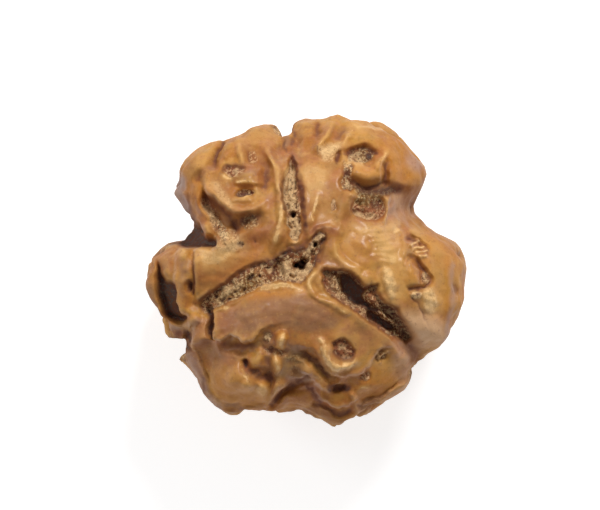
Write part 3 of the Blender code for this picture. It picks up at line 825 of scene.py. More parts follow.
    # The trough between the cheeks, with its thin red ridge and its channel, and painted shade in the channel
    # and along the bottom
    ridge(4, 0.45, (278, 372, 0.4), (277, 382), (273, 391), (268, 401, 0.7))
    cliff(3, 9, 0.45, (308, 374, 0.3), (296, 380), (285, 386), (277, 393), (271, 402, 0.6))
    hollow(5, 0.45, (273, 401, 0.6), (282, 392), (291, 386), (301, 380), (310, 378, 0.4), roundness=0.9)
    ridge(7, 0.35, (272, 407, 0.6), (284, 402), (298, 396), (310, 394, 0.3))
    paint("red", 3, 1.0, (276, 380), (274, 388), (270, 397))
    paint("dark", 5, 0.75, (273, 400), (281, 392), (291, 385), (301, 378), (309, 376))
    paint("red", 10, 0.7, (276, 400), (290, 390), (306, 384))
    tint("gold", 0.4, 6, (276, 400), (292, 390), (308, 388), (314, 400), (300, 408), (280, 410))
    for colour_mark, strength in (("red", 0.5), ("mauve", 0.6)):
        tint(colour_mark, strength, 5, (286, 372), (300, 366), (310, 374), (304, 380), (290, 384))
    paint("dark", 7, 0.4, (306, 406), (322, 414), (340, 414))
    paint("mauve", 9, 0.6, (300, 404), (320, 410), (338, 418))
    paint("red", 8, 0.7, (276, 404), (290, 400), (304, 396))

    # The crater and the crevice round it, with a painted highlight on its rim, painted shade in the pit and
    # the crevice, and a painted sheen along the outer edge
    bump((345, 352), (30, 24), 0.30)
    cliff(2.2, 8, 0.42,
        (388, 345, 0.3), (380, 349), (373, 358), (367, 367), (356, 374), (342, 376), (330, 373), (322, 366),
        (315, 358), (305, 351, 0.4)
    )
    ridge(5, 0.40, (321, 341, 0.5), (325, 351), (329, 360), (337, 366), (347, 366), (353, 362, 0.4))
    sink(0.50, 4,
        (334, 343), (340, 339), (347, 339), (352, 345), (354, 353), (351, 359), (344, 360), (337, 356),
        (333, 350), margin=0.6
    )
    hollow(7, 0.55, (297, 351, 0.5), (308, 356), (316, 363), (324, 371), (333, 378, 0.5), roundness=0.9)
    tint("red", 1.0, 2.5, (334, 343), (341, 339), (350, 342), (354, 352), (350, 359), (342, 359), (335, 353))
    dab("cream_and_highlight", (342, 347), (5, 4), 0.8)
    paint("dark", 4, 0.7, (334, 352), (342, 359), (352, 358), (354, 350))
    paint("cream_and_highlight", 10, 1.1, (321, 342), (325, 352), (329, 360), (337, 366), (351, 364))
    paint("dark", 7, 0.72, (299, 352, 0.6), (310, 358), (319, 366), (328, 375, 0.8))
    paint("fibre", 5, 0.4, (300, 352), (311, 358), (320, 367))
    paint("painted_light", 2, 0.5, (318, 362), (328, 372), (342, 376), (358, 373), (370, 362), (380, 350))

    # The two folds below the crater, with painted shade under them and a painted sheen along their edges
    cliff(2.2, 7, 0.42,
        (340, 379, 0.4), (334, 384), (327, 388), (320, 387), (313, 380), (307, 372), (297, 368, 0.5)
    )
    pit((338, 386), (9, 4.5), 0.45, turn=-6)
    cliff(2.2, 8, 0.50, (354, 398, 0.5), (346, 402), (330, 402), (319, 396), (312, 387, 0.5))
    hollow(5, 0.40, (316, 402), (332, 407), (350, 408, 0.5))
    ridge(5, 0.28, (352, 394), (356, 404), (352, 412, 0.5))
    bump((337, 420), (12, 7), 0.25)
    paint("dark", 6, 0.9, (330, 386), (338, 386), (347, 387))
    paint("dark", 5, 0.8, (308, 384), (315, 394), (322, 402))
    paint("dark", 5, 0.75, (318, 405), (332, 408), (348, 408))
    paint("red", 8, 0.8, (304, 378), (314, 392), (324, 404), (348, 408))
    paint("painted_light", 2, 0.45, (308, 373), (314, 381), (321, 387), (329, 387))
    paint("painted_light", 2, 0.45, (314, 390), (322, 399), (336, 402), (348, 401))
    paint("painted_light", 6, 0.5, (354, 396), (358, 408))
    paint("red", 4, 0.6, (322, 396), (344, 398))
    for colour_mark, strength in (("red", 0.4), ("dark", 0.25)):
        tint(colour_mark, strength, 6, (306, 410), (324, 408), (350, 412), (342, 426), (326, 424))

    # The right cheek, its two small pits and its rim, with a painted highlight on the cheek, painted shade in
    # the crease, and painted light and sheen along the rim
    bump((376, 384), (32, 18), 0.32)
    bump((362, 388), (9, 5), 0.12)
    bump((396, 354), (14, 20), 0.22)
    pit((382, 356), (9, 6), 0.22, turn=-25)
    pit((365, 376), (8, 6), 0.20, turn=-15)
    ridge(1.8, 0.2, (378, 353), (381, 362))
    ridge(1.8, 0.2, (386, 350), (379, 358))
    ridge(1.8, 0.14, (362, 373), (366, 379))
    cliff(2.5, 8, 0.35,
        (354, 399, 0.3), (362, 402), (375, 399), (388, 394), (398, 386), (407, 379), (411, 368), (410, 356),
        (406, 346), (400, 340, 0.4)
    )
    crease(3.5, 0.40, (358, 404), (368, 405), (377, 402, 0.5))
    ridge(6, 0.25, (374, 404), (388, 398), (404, 386))
    dab("fibre", (382, 356), (8, 5), 0.6, turn=-25)
    dab("fibre", (365, 376), (8, 6), 0.7, turn=-15)
    dab("red", (365, 376), (9, 6), 0.6)
    paint("cream_and_highlight", 1.6, 1.0, (378, 353), (381, 362))
    paint("cream_and_highlight", 1.6, 0.9, (387, 350), (379, 358))
    paint("dark", 4, 0.4, (374, 358), (380, 350), (390, 350))
    paint("dark", 5, 0.6, (360, 405), (370, 405), (377, 402))
    tint("painted_light", 0.6, 6, (394, 342), (404, 342), (412, 360), (411, 374), (400, 382), (394, 366))
    paint("painted_light", 2, 0.5, (358, 402), (374, 399), (388, 394), (400, 385), (409, 376))
    paint("red", 3, 0.8, (388, 339), (398, 340), (406, 348))
    paint("cream_and_highlight", 3.5, 0.9, (358, 387), (367, 387))
    paint("mauve", 7, 0.5, (378, 400), (396, 390), (410, 378))


def right_face():
    # The dusty plateau and its wrinkles, with painted highlights along its lip and on the round bump
    bump((380, 244), (32, 30), 0.25)
    ridge(6, 0.20, (342, 226, 0.5), (336, 238), (334, 248), (339, 257), (347, 264), (358, 271, 0.6))
    cliff(4, 12, 0.28, (402, 268, 0.4), (403, 252), (402, 236), (396, 222, 0.3))
    wrinkles = (
        (354, 229, 226, 0.5), (358, 233, 229, 0.9), (363, 238, 236, 0.5), (370, 242, 237, 1),
        (373, 246, 245, 0.6), (374, 252, 248, 1), (372, 257, 259, 0.7), (376, 262, 264, 0.5),
    )
    for left, left_y, right_y, full in wrinkles:
        ridge(2.4, 0.10,
            (left, left_y, 0.5 * full), (left + 13, left_y - 2, full), (398, right_y, 0.4 * full)
        )
    hollow(3, 0.05, (352, 230), (360, 235), (368, 238))
    hollow(3, 0.05, (369, 239), (373, 246), (371, 254))
    bump((368, 278), (8, 9), 0.25)
    bump((390, 284), (12, 20), 0.22, turn=-12)
    tint("fibre", 0.36, 4, (383, 268), (391, 266), (398, 282), (399, 296), (391, 300), (385, 288))
    hollow(5, 0.15, (379, 268), (380, 280), (383, 294))
    tint("cream_and_highlight", 0.8, 5,
        (352, 226), (372, 222), (396, 222), (403, 236), (402, 262), (390, 268), (378, 256), (372, 240),
        (358, 234)
    )
    paint("red", 3, 0.5, (368, 238), (373, 246), (371, 256), (378, 262))
    dab("cream_and_highlight", (393, 258), (6, 7), 0.92)
    dab("cream_and_highlight", (397, 230), (6, 5), 0.9)
    paint("cream_and_highlight", 3.5, 0.9, (336, 246), (336, 254), (341, 258))
    paint("cream_and_highlight", 3, 0.9, (344, 261), (349, 265))
    paint("cream_and_highlight", 3, 0.8, (355, 269), (360, 272))
    tint("cream_and_highlight", 1.0, 9, (380, 264), (392, 264), (401, 284), (401, 298), (390, 303), (381, 288))
    for centre in ((385, 272), (391, 277), (388, 285), (396, 286), (392, 295)):
        bump(centre, (5, 6), 0.16)
    paint("cream_and_highlight", 8, 0.5, (344, 232), (350, 224))

    # The two curled pits, the yellow knob between them and the rough spots, with painted shade in the pits'
    # arcs and painted highlights on the ridges inside them
    bump((414, 230), (9, 6), 0.15)
    hollow(4, 0.40, (407, 240, 0.9), (413, 239), (420, 241), (427, 246), (429, 254, 0.5), roundness=0.9)
    pit((418, 248), (10, 8), 0.25, turn=30)
    fingers = (
        ((410, 247), (419, 240)), ((413, 250), (424, 245)),
        ((417, 253), (427, 250)), ((420, 257), (426, 255)),
    )
    for start, end in fingers:
        ridge(2, 0.30, start, end)
        paint("cream_and_highlight", 2, 1.3, start, end)
    ridge(6, 0.35, (411, 262, 0.7), (413, 272), (412, 283, 0.8), roundness=0.9)
    hollow(4, 0.38,
        (406, 260, 0.4), (411, 258), (418, 264), (424, 271), (428, 280), (423, 288), (411, 288, 0.6),
        roundness=0.9
    )
    pit((422, 277), (6, 10), 0.15)
    ridge(2.5, 0.20, (422, 272), (424, 279), (422, 285))
    bump((415, 293), (6, 6), 0.25)
    bump((428, 299), (13, 15), 0.24)
    for centre in ((421, 292), (429, 291), (425, 300), (433, 301), (426, 309)):
        bump(centre, (6, 6), 0.15)
    tint("fibre", 0.36, 4, (421, 290), (431, 288), (437, 298), (433, 310), (424, 312), (419, 302))
    pit((417, 291), (2, 2), 0.2)
    pit((413, 296), (1.6, 1.6), 0.2)
    crease(2, 0.14, (412, 297), (417, 305), (422, 315), (426, 326, 0.3))
    paint("dark", 3.5, 0.85, (408, 240), (416, 240, 0.8), (424, 243, 0.5), (429, 250, 0.6), (430, 256, 0.3))
    paint("dark", 2.4, 0.6, (407, 262, 0.5), (409, 258), (413, 258, 0.7))
    paint("dark", 3.5, 0.7,
        (415, 260, 0.5), (420, 266), (424, 272), (429, 281, 0.5), (423, 288, 0.7), (411, 288)
    )
    paint("red", 7, 0.9, (409, 241), (420, 243), (427, 252))
    paint("red", 8, 0.9, (415, 262), (423, 272), (425, 284), (414, 290))
    dab("fibre", (424, 278), (6, 9), 0.9)
    paint("cream_and_highlight", 4, 1.0, (424, 273), (425, 284))
    dab("fibre", (415, 294), (7, 5), 0.6)
    dab("cream_and_highlight", (415, 294), (7, 6), 1.0)
    dab("dark", (417, 293), (2, 2), 0.8)
    dab("gold", (413, 270), (5, 14), 1.0)
    dab("cream_and_highlight", (426, 256), (5, 3), 0.6)
    tint("cream_and_highlight", 1.0, 8, (419, 286), (431, 285), (439, 297), (436, 312), (425, 316), (417, 304))
    paint("cream_and_highlight", 4, 1.0, (413, 290), (418, 297))
    dab("cream_and_highlight", (413, 231), (7, 4), 0.7)
    dab("cream_and_highlight", (438, 246), (6, 7), 0.5)
    paint("olive", 10, 0.5, (436, 256), (440, 280))

    # The outer mass, the soft ridge line and the outer band, with painted light on the slope that faces away
    # from the lamps, a painted lavender sheen on the ridge line and painted shade in the dent
    bump((440, 268), (20, 32), 0.20)
    ridge(6, 0.22, (450, 258, 0.3), (450, 284), (447, 304), (443, 322), (440, 342, 0.6))
    bump((458, 272), (8, 20), 0.18)
    bump((426, 330), (20, 18), 0.35)
    pit((453, 289), (3.5, 7), 0.18)
    tint("cream_and_highlight", 1.0, 8, (404, 312), (424, 314), (440, 326), (438, 340), (424, 346), (412, 336))
    tint("painted_light", 1.0, 9, (404, 314), (424, 312), (442, 324), (440, 340), (424, 348), (412, 340))
    paint("painted_lilac_sheen", 4, 0.7, (450, 264), (450, 286), (447, 304), (443, 322), (440, 340))
    tint("cream_and_highlight", 0.4, 8, (424, 240), (444, 244), (446, 280), (436, 312), (420, 316), (428, 280))
    dab("dark", (453, 289), (3.5, 7), 0.5)
    dab("mauve", (453, 289), (6, 9), 0.8)
    paint("cream_and_highlight", 4, 0.5, (457, 262), (458, 282))


def upper_right_lobe():
    # The bumps at the top and the two fingers, with painted highlights on the fingers' crests and painted
    # shade in the folds beside them
    bump((306, 131), (15, 14), 0.35)
    hollow(5, 0.50, (319, 122, 0.3), (317, 131), (316, 139, 0.4))
    bump((315, 141), (4, 4), 0.15)
    ridge(6.5, 0.50, (336, 119, 0.4), (331, 127), (325, 137), (318, 148, 0.7))
    hollow(7, 0.35, (345, 130), (337, 142))
    ridge(5, 0.36, (354, 131, 0.5), (347, 138), (343, 147, 0.6))
    hollow(10, 0.15, (322, 153), (332, 152))
    pit((339, 156), (3.5, 7), 0.35, turn=15)
    tint("fibre", 0.5, 5, (316, 150), (326, 144), (341, 143), (342, 150), (334, 162), (322, 162))
    tint("cream_and_highlight", 0.9, 5, (318, 150), (328, 145), (341, 143), (336, 154), (322, 162))
    ridge(3, 0.12, (320, 156), (328, 150), (338, 146))
    paint("cream_and_highlight", 2.6, 0.9, (331, 127), (325, 137), (319, 147))
    paint("cream_and_highlight", 2.4, 0.9, (352, 132), (346, 140), (343, 146))
    paint("mauve", 5, 0.9, (345, 130), (338, 140))
    paint("dark", 3, 0.5, (344, 131), (340, 136))
    paint("red", 4, 0.9, (342, 149), (338, 158))
    paint("dark", 3, 0.7, (340, 154), (336, 162))
    paint("dark", 6, 0.45, (318, 124), (317, 137))
    paint("red", 6, 0.7, (318, 124), (316, 138))
    paint("dark", 1.8, 0.7, (317, 148), (318, 154))
    tint("cream_and_highlight", 1.0, 8, (350, 124), (370, 124), (388, 126), (396, 134), (372, 133), (352, 131))
    paint("cream_and_highlight", 5, 0.5, (326, 124), (320, 120))

    # The arch over the eye pit, and the lip knob under it, with a painted shadow under the arch, painted
    # shade in the pit, under the knob and in the slit, and painted highlights on the knob
    ridge(8, 0.32, (352, 138, 0.4), (362, 138), (374, 140), (384, 146), (390, 156, 0.6))
    sink(0.45, 4,
        (348, 153), (353, 149), (361, 148), (369, 149), (374, 152), (373, 158), (368, 162), (358, 163),
        (349, 162), margin=0.5
    )
    hollow(4, 0.22, (346, 156, 0.6), (351, 151), (361, 149), (369, 150), (374, 154, 0.5))
    ridge(2.5, 0.15, (350, 160), (357, 156), (362, 161))
    ridge(4.5, 0.36, (386, 151, 0.5), (382, 158), (377, 167, 0.8))
    ridge(8.5, 0.46, (354, 169, 0.8), (361, 173), (369, 175), (377, 172), (381, 163, 0.6), roundness=0.8)
    hollow(4.5, 0.35, (352, 183, 0.7), (360, 186), (371, 187), (382, 183, 0.7))
    hollow(4.5, 0.50, (386, 162, 0.5), (384, 172), (385, 182))
    tint("olive", 0.6, 3, (352, 152), (366, 152), (374, 156), (366, 163), (354, 161))
    tint("red", 0.6, 3, (346, 152), (354, 149), (356, 158), (350, 162))
    paint("dark", 3.5, 0.72, (346, 155), (352, 151), (361, 149), (370, 150), (375, 154))
    paint("red", 5, 0.8, (346, 153), (352, 149), (361, 147), (370, 148), (376, 152))
    paint("cream_and_highlight", 3, 0.9, (348, 161), (354, 157), (361, 161))
    dab("dark", (368, 156), (4.5, 5), 1.0)
    dab("dark", (352, 155), (3.5, 3), 0.6)
    paint("cream_and_highlight", 4, 1.0, (345, 163), (352, 163), (362, 163))
    paint("cream_and_highlight", 3, 1.0, (354, 164), (362, 166))
    paint("cream_and_highlight", 3, 0.9, (385, 153), (380, 163))
    tint("dark", 0.4, 3, (347, 153), (361, 149), (374, 153), (370, 161), (354, 158))
    tint("red", 0.5, 4, (352, 175), (366, 181), (382, 173), (381, 181), (367, 187), (353, 183))
    paint("dark", 3.5, 0.75, (352, 182), (360, 186), (371, 187), (382, 183))
    paint("dark", 3.5, 0.7, (384, 165), (384, 174), (386, 182))
    paint("red", 7, 0.4, (388, 168), (390, 180))

    # The outer bumps and the brown valley to the notch, with a painted shadow under the bulge, a painted
    # lavender sheen on the outer bump and painted light on the shaded saddle
    bump((396, 166), (13, 20), 0.32)
    bump((375, 128), (28, 9), 0.22)
    bump((418, 176), (12, 22), 0.28)
    hollow(7, 0.40, (354, 188, 0.6), (372, 189), (388, 187), (404, 190, 0.4))
    hollow(12, 0.35, (396, 194), (402, 208), (396, 220))
    tint("painted_lilac_sheen", 0.7, 5, (410, 150), (418, 156), (424, 166), (416, 172), (408, 164))
    tint("mauve", 0.35, 6, (392, 188), (416, 190), (414, 206), (412, 220), (396, 224), (390, 206))
    tint("dark", 0.85, 4,
        (352, 185), (372, 188), (390, 182), (404, 186), (398, 194), (386, 195), (372, 194), (358, 191)
    )
    tint("dark", 0.12, 7, (392, 190), (410, 190), (410, 210), (398, 222), (390, 206))
    tint("olive", 0.9, 3, (354, 186), (374, 190), (382, 186), (388, 192), (376, 197), (360, 196))
    tint("fibre", 0.8, 3, (352, 186), (372, 190), (392, 186), (392, 192), (376, 197), (360, 196))
    tint("painted_light", 0.35, 7, (392, 196), (410, 194), (412, 212), (402, 222), (390, 212))
    dab("dark", (390, 188), (5, 3.5), 0.8)
    dab("dark", (372, 190), (4, 3), 0.8)

    # The rough strip, the tan lumps and the red pit, with painted shade in the pits and beside the notch at
    # the top, and painted highlights along the lips of the upper groove
    sink(0.38, 4,
        (343, 164), (349, 163), (353, 168), (351, 176), (353, 186), (350, 190), (342, 189), (340, 182),
        (343, 174), margin=0.5
    )
    bump((346, 186), (5, 3.5), 0.28)
    bump((351, 195), (5, 4), 0.22)
    ridge(8, 0.30, (348, 194), (345, 206), (341, 220, 0.6))
    sink(0.35, 5,
        (357, 197), (364, 193), (374, 195), (382, 199), (387, 208), (383, 216), (374, 220), (362, 218),
        (353, 216), (352, 207), margin=0.4
    )
    ridge(3, 0.20, (356, 208), (364, 207), (370, 212))
    bump((361, 198), (7, 5), 0.18)
    ridge(3, 0.30, (388, 197, 0.8), (388, 208), (385, 222, 0.5))
    bump((386, 200), (4, 4), 0.2)
    pit((334, 204), (3.5, 9), 0.18)
    crease(2, 0.08, (354, 198), (350, 208), (346, 219, 0.4))
    dab("dark", (346, 174), (6, 7), 0.6)
    dab("cream_and_highlight", (346, 164), (5, 4), 1.0)
    dab("cream_and_highlight", (347, 176), (1.8, 1.8), 1.0)
    paint("cream_and_highlight", 3.5, 0.9, (343, 186), (351, 186))
    paint("cream_and_highlight", 3.5, 0.7, (350, 194), (355, 193))
    tint("red", 1.0, 3, (354, 203), (364, 206), (384, 204), (386, 214), (372, 221), (356, 218))
    tint("olive", 0.8, 2.5, (356, 197), (366, 194), (372, 200), (366, 206), (356, 205))
    dab("dark", (376, 204), (8, 5), 0.6, turn=20)
    paint("cream_and_highlight", 4.5, 1.0, (356, 213), (366, 216), (374, 215))
    dab("fibre", (334, 204), (4, 9), 0.8)
    dab("red", (334, 204), (5, 9), 0.7)
    paint("cream_and_highlight", 2.2, 0.9, (386, 199), (388, 208), (386, 220))
    tint("cream_and_highlight", 0.8, 4, (302, 166), (316, 162), (330, 168), (328, 184), (319, 200), (310, 206), (304, 184))
    tint("cream_and_highlight", 0.5, 5, (318, 186), (334, 184), (340, 196), (340, 222), (322, 226), (314, 212))
    paint("cream_and_highlight", 2.6, 1.3, (317, 196), (314, 208), (312, 220))
    paint("cream_and_highlight", 5, 1.2, (281, 206), (280, 222), (276, 240))
    paint("cream_and_highlight", 2.6, 0.9, (272, 160), (277, 176), (279, 190))
    bump((287, 146), (4, 8), 0.25)
    dab("mauve", (287, 146), (5, 8), 1.0)
    paint("dark", 3, 0.7, (283, 142), (284, 150), (288, 154))
    paint("dark", 4, 0.7, (294, 136), (292, 148))
    paint("red", 6, 0.7, (296, 136), (293, 152))


# The sides and the underside, which the view from above doesn't show, grow by rule: the three
# grooves go on to the lower pole between raised lips, and folds, warts and rough pits cover the rest.
GROOVE_ENDS_PX = ((287, 137), (187, 343), (414, 367))
FURROW_ENDS_PX = ((194, 227), (414, 209), (302, 411))
cover = 1 - smoothstep(0.8 * MM, 5.5 * MM, above)
under = np.flatnonzero(cover > 0)

# The seed keeps what the noise shapes the same each time
NOISE_SEED = 3
noise.seed_set(NOISE_SEED)
drift = np.array([noise.noise_vector(Vector(p) / (4.0 * MM)) for p in body[under]]) * 1.3 * MM
places = [Vector(p) for p in (body[under] + drift) * [1, 1, 0.75]]


def waves(size, seed):
    """Smooth noise over the sides, from -1 to 1, with features of the size."""
    shift = Vector((seed, 2 * seed, -seed))
    return np.array([noise.noise(place / size + shift) for place in places])


def folds(size, seed, width):
    """Rounded folds, from 0 on their backs to -1 in the narrow creases between them."""
    return -np.exp(-np.abs(waves(size, seed)) / width)


broad = folds(6.4 * MM, 3, 0.17)
lesser = folds(3.0 * MM, 11, 0.15)
busy = smoothstep(-0.25, 0.25, waves(5.0 * MM, 17))
lower = MM * (1.35 * broad + (0.25 + 0.45 * busy) * lesser + 1.1 * waves(8.5 * MM, 5))

# Warts in some places, and rough pits where a few cells have sunk. Each cell's kind, from -1 to 1,
# depends on where its middle lies, and the scatter sets neighbours apart.
CELL = 3.0 * MM
SCATTER = 37.0
gaps, middles = zip(*(noise.voronoi(place / CELL) for place in places))
first = np.array([gap[0] for gap in gaps])
second = np.array([gap[1] for gap in gaps])
kind = np.array([noise.cell(middle[0] * SCATTER) for middle in middles])
lower += 0.45 * MM * (1 - busy) * (np.clip(second - first, 0, 0.5) / 0.5) ** 0.7
sunk = (kind > 0.62) * (1 - smoothstep(0.16, 0.34, first))
risen = (kind < -0.5) * np.clip(1 - (first / 0.36) ** 2, 0, None)
lower += 0.6 * MM * risen - 0.8 * MM * sunk
PERCENT_WITHIN_BODY = 82
lower -= np.percentile(lower, PERCENT_WITHIN_BODY)
side_fibre = sunk.copy()
# Painted shade in the sunk pits and at the bottoms of the creases between the folds
side_dark = 0.45 * sunk + 0.6 * smoothstep(0.72, 0.95, -broad) + 0.3 * smoothstep(0.75, 0.95, -lesser)

# The three grooves and three lesser furrows between them. Each has its half width, its depth, the
# distances from the axis at which it begins and is full, and its share of fibre. All of them sway a
# little, and are shallower at the widest level.
GROOVE = (0.8, 1.5, 0.0, 0.8, 1)
FURROW = (0.85, 0.9, 4.0, 8.0, 0)
sway = 0.6 * MM * waves(4.5 * MM, 21)
at_waist = np.exp(-(((above[under] - 1 * MM) / (3 * MM)) ** 2))
x, y, _ = body[under].T
channels = [(end, GROOVE) for end in GROOVE_ENDS_PX] + [(end, FURROW) for end in FURROW_ENDS_PX]
for (end_x, end_y), (half_width, depth, begins, full, fibre_share) in channels:
    angle = math.atan2(AXIS_PX[1] - end_y, end_x - AXIS_PX[0])
    across = np.abs(y * math.cos(angle) - x * math.sin(angle) + sway) / (half_width * MM)
    outer = smoothstep(begins * MM, full * MM, x * math.cos(angle) + y * math.sin(angle))
    lower *= 1 - 0.7 * outer * (1 - smoothstep(1.0, 2.2, across))
    lower += outer * MM * 0.35 * np.clip(1 - ((across - 2.0) / 1.1) ** 2, 0, None)
    lower -= outer * MM * depth * (1 - 0.7 * at_waist) * (1 - smoothstep(0.35, 1.15, across))
    side_fibre = np.maximum(side_fibre, outer * (1 - smoothstep(0.7, 1.1, across)) * fibre_share)
    # Painted shade along the walls of each groove and furrow
    side_dark = np.maximum(side_dark, 0.6 * outer * np.exp(-(((across - 0.95) / 0.3) ** 2)))

# The mouth of the canal at the lower pole, with painted shade in it
CANAL_DEPTH = 2.2 * MM
from_axis = np.hypot(body[under][:, 0], body[under][:, 1])
lower -= CANAL_DEPTH * (1 - smoothstep(0.35 * MM, 0.6 * MM, from_axis)) * (body[under][:, 2] < WIDEST_LEVEL)
side_dark = np.maximum(side_dark, (from_axis < 0.5 * MM) * 1.0)
side_relief = np.zeros(COUNT)
side_relief[under] = lower * cover[under]
base = body + side_relief[:, None] * straight_out


# The folds are drawn three times: at first on the smooth body, and then on the body as they raise it, so that
# each of them lies where it is seen. Their edges waver a little, and their colour marks, painted shade and
# painted highlights among them, are patchy.
MASKS = ("fibre", "cream_and_highlight", "gold", "mauve", "painted_light", "painted_lilac_sheen", "red", "olive", "dark")
raised = np.zeros((COUNT, 1))
for _ in range(3):
    seen = seen_from_above(base + smoothed(raised, 6) * outward)
    waver = [Vector((x / 6, y / 6, 0)) for x, y in seen]
    seen += np.array([noise.noise_vector(spot)[:2] for spot in waver]) * 1.6
    seen += np.array([noise.noise_vector(spot / 2.5)[:2] for spot in waver]) * 1.8
    patchy = smoothstep(-0.45, 0.25, np.array([noise.noise(spot * 1.4) for spot in waver]))
    relief = np.zeros(COUNT)
    masks = {name: np.zeros(COUNT) for name in MASKS}
    broad_forms()
    grooves_and_junction()
    upper_left_lobe()
    left_face()
    lower_face()
    right_face()
    upper_right_lobe()
    relief *= smoothstep(0.5 * MM, 5.0 * MM, above)
    raised = relief[:, None]

# The colours of the sides: fibre and painted shade from the rules above, mauve and russet patches, and pale
# patches only on the raised parts, partly painted highlights
for name, values in (("fibre", side_fibre), ("dark", side_dark)):
    masks[name][under] = np.maximum(masks[name][under], np.clip(values, 0, 1) * cover[under])
patches = smoothstep(0.0, 0.4, waves(3.6 * MM, 31))
masks["mauve"][under] = np.maximum(masks["mauve"][under], 0.8 * patches * cover[under])
patches = smoothstep(0.0, 0.4, waves(2.8 * MM, 41)) * smoothstep(-0.3, 0.1, lower / MM)
masks["cream_and_highlight"][under] = np.maximum(masks["cream_and_highlight"][under], 0.75 * patches * cover[under])
patches = smoothstep(0.05, 0.4, waves(4.2 * MM, 51))
masks["red"][under] = np.maximum(masks["red"][under], 0.5 * patches * cover[under])

# Fine unevenness everywhere, drawn out from pole to pole, and coarse grain where dry fibre is left
everywhere = [Vector(p) for p in body * [1, 1, 0.6]]
uneven = np.array([noise.fractal(place / (1.5 * MM), 1.0, 2.0, 2) for place in everywhere])
grain = np.array([noise.fractal(place / (0.30 * MM), 0.9, 2.0, 2) for place in everywhere])
lumps = np.array([noise.noise(place / (0.55 * MM)) for place in everywhere])
fine = (0.13 * uneven + 0.07 * lumps) * MM
fine *= 1.9 - 0.9 * smoothstep(-4 * MM, 8 * MM, above)
fine += np.maximum(masks["fibre"], 0.2 * masks["dark"]) * 0.17 * MM * grain
points = base + relief[:, None] * outward + fine[:, None] * straight_out
points = smoothed(points, 1, keep=np.clip(0.1 + masks["fibre"], 0, 0.9))

# What folds have pushed beyond the outline seen from above is drawn in again
FREE_SHARE = 0.97
flat = seen_from_above(points) - seen_from_above(np.array([[0, 0, WIDEST_LEVEL]]))
share = np.hypot(flat[:, 0], flat[:, 1]) * PIXEL / outline_radius(np.arctan2(-flat[:, 1], flat[:, 0]))
beyond = np.clip(share - FREE_SHARE, 0, None) / (1 - FREE_SHARE)
held = np.where(beyond > 0, FREE_SHARE + (1 - FREE_SHARE) * (1 - np.exp(-beyond)) * 1.15, share)

# Where the highest folds fall short of that outline, they are drawn out to it
SECTORS = 720
sector = ((np.arctan2(-flat[:, 1], flat[:, 0]) / math.pi + 1) / 2 * SECTORS).astype(int) % SECTORS
furthest = np.zeros(SECTORS)
np.maximum.at(furthest, sector, held)
stretch = np.clip(1 / furthest, 0.99, 1.05)
stretch = np.mean([np.roll(stretch, turn) for turn in range(-3, 4)], axis=0)
held *= 1 + (stretch[sector] - 1) * smoothstep(0.6, 0.9, held)
points[:, :2] *= (held / np.maximum(share, 1e-6))[:, None]

# The flat spot: what would reach below the resting level is worn off
points[:, 2] -= points[:, 2].max() - high.z
worn = points[:, 2] < low.z
points[worn, 2] = low.z
write_points(stone_mesh, points)

# Hollows and crests, from how far the surface lies below or above its own smoothed form. The hollows get
# painted shade and the crests painted highlights.
normals = read_normals(stone_mesh)
wide = smoothed(points, 60)
narrow = smoothed(points, 12)
depth_wide = ((wide - points) * normals).sum(axis=1) / MM
depth_narrow = ((narrow - points) * normals).sum(axis=1) / MM
masks["hollow"] = np.clip(depth_wide / 0.35, 0, 1) * 0.6 + np.clip(depth_narrow / 0.12, 0, 1) * 0.4
masks["crest"] = np.clip(-depth_wide / 0.3, 0, 1) * 0.6 + np.clip(-depth_narrow / 0.1, 0, 1) * 0.4
# The lower flanks, which get less gloss and a little painted shade in mauve
masks["flank"] = 1 - smoothstep(6.0 * MM, 10.2 * MM, above)
# Painted highlights on the sides' crests, and painted shade in their hollows
masks["cream_and_highlight"] = np.maximum(masks["cream_and_highlight"], 0.6 * masks["crest"] * cover)
masks["dark"] = np.maximum(masks["dark"], 0.5 * smoothstep(0.5, 1, masks["hollow"]) * cover)
for name, values in masks.items():
    layer = stone_mesh.attributes.new(name, "FLOAT", "POINT")
    layer.data.foreach_set("value", np.clip(values, 0, 1).astype(np.float32))
stone_mesh.shade_smooth()

KEPT_FACES = 0.58
stone = bpy.data.objects.new("rudraksha_stone", stone_mesh)
bpy.context.collection.objects.link(stone)
fewer = stone.modifiers.new("fewer faces", "DECIMATE")
fewer.ratio = KEPT_FACES
fewer.use_collapse_triangulate = True

# Its finish: ochre and amber wood under a thin coat of wax, with russet in the folds, painted umber shade in
# the hollows, pale dusty patches, painted highlights on the crests, and dull, straw-coloured fibre in the
# grooves
material = bpy.data.materials.new("waxed_woody_stone")
material.use_nodes = True
nodes, links = material.node_tree.nodes, material.node_tree.links
shader = nodes["Principled BSDF"]
shader.inputs["Metallic"].default_value = 0.0
shader.inputs["IOR"].default_value = 1.48
shader.inputs["Coat Roughness"].default_value = 0.22
shader.inputs["Coat IOR"].default_value = 1.45
coordinates = nodes.new("ShaderNodeTexCoord")
drawn_out = nodes.new("ShaderNodeMapping")
drawn_out.inputs["Scale"].default_value = (1, 1, 0.6)
links.new(coordinates.outputs["Object"], drawn_out.inputs["Vector"])


def texture(kind, scale, **values):
    """A texture drawn out from pole to pole, with its scale in features per millimetre."""
    node = nodes.new(kind)
    links.new(drawn_out.outputs["Vector"], node.inputs["Vector"])
    node.inputs["Scale"].default_value = scale / MM
    for name, value in values.items():
        node.inputs[name].default_value = value
    return node


def mask(name):
    node = nodes.new("ShaderNodeAttribute")
    node.attribute_name = name
    return node.outputs["Fac"]


def math_node(operation, first, second=0.0, clamp=False):
    node = nodes.new("ShaderNodeMath")
    node.operation = operation
    node.use_clamp = clamp
    for socket, value in zip(node.inputs, (first, second)):
        if isinstance(value, (int, float)):
            socket.default_value = value
        else:
            links.new(value, socket)
    return node.outputs[0]


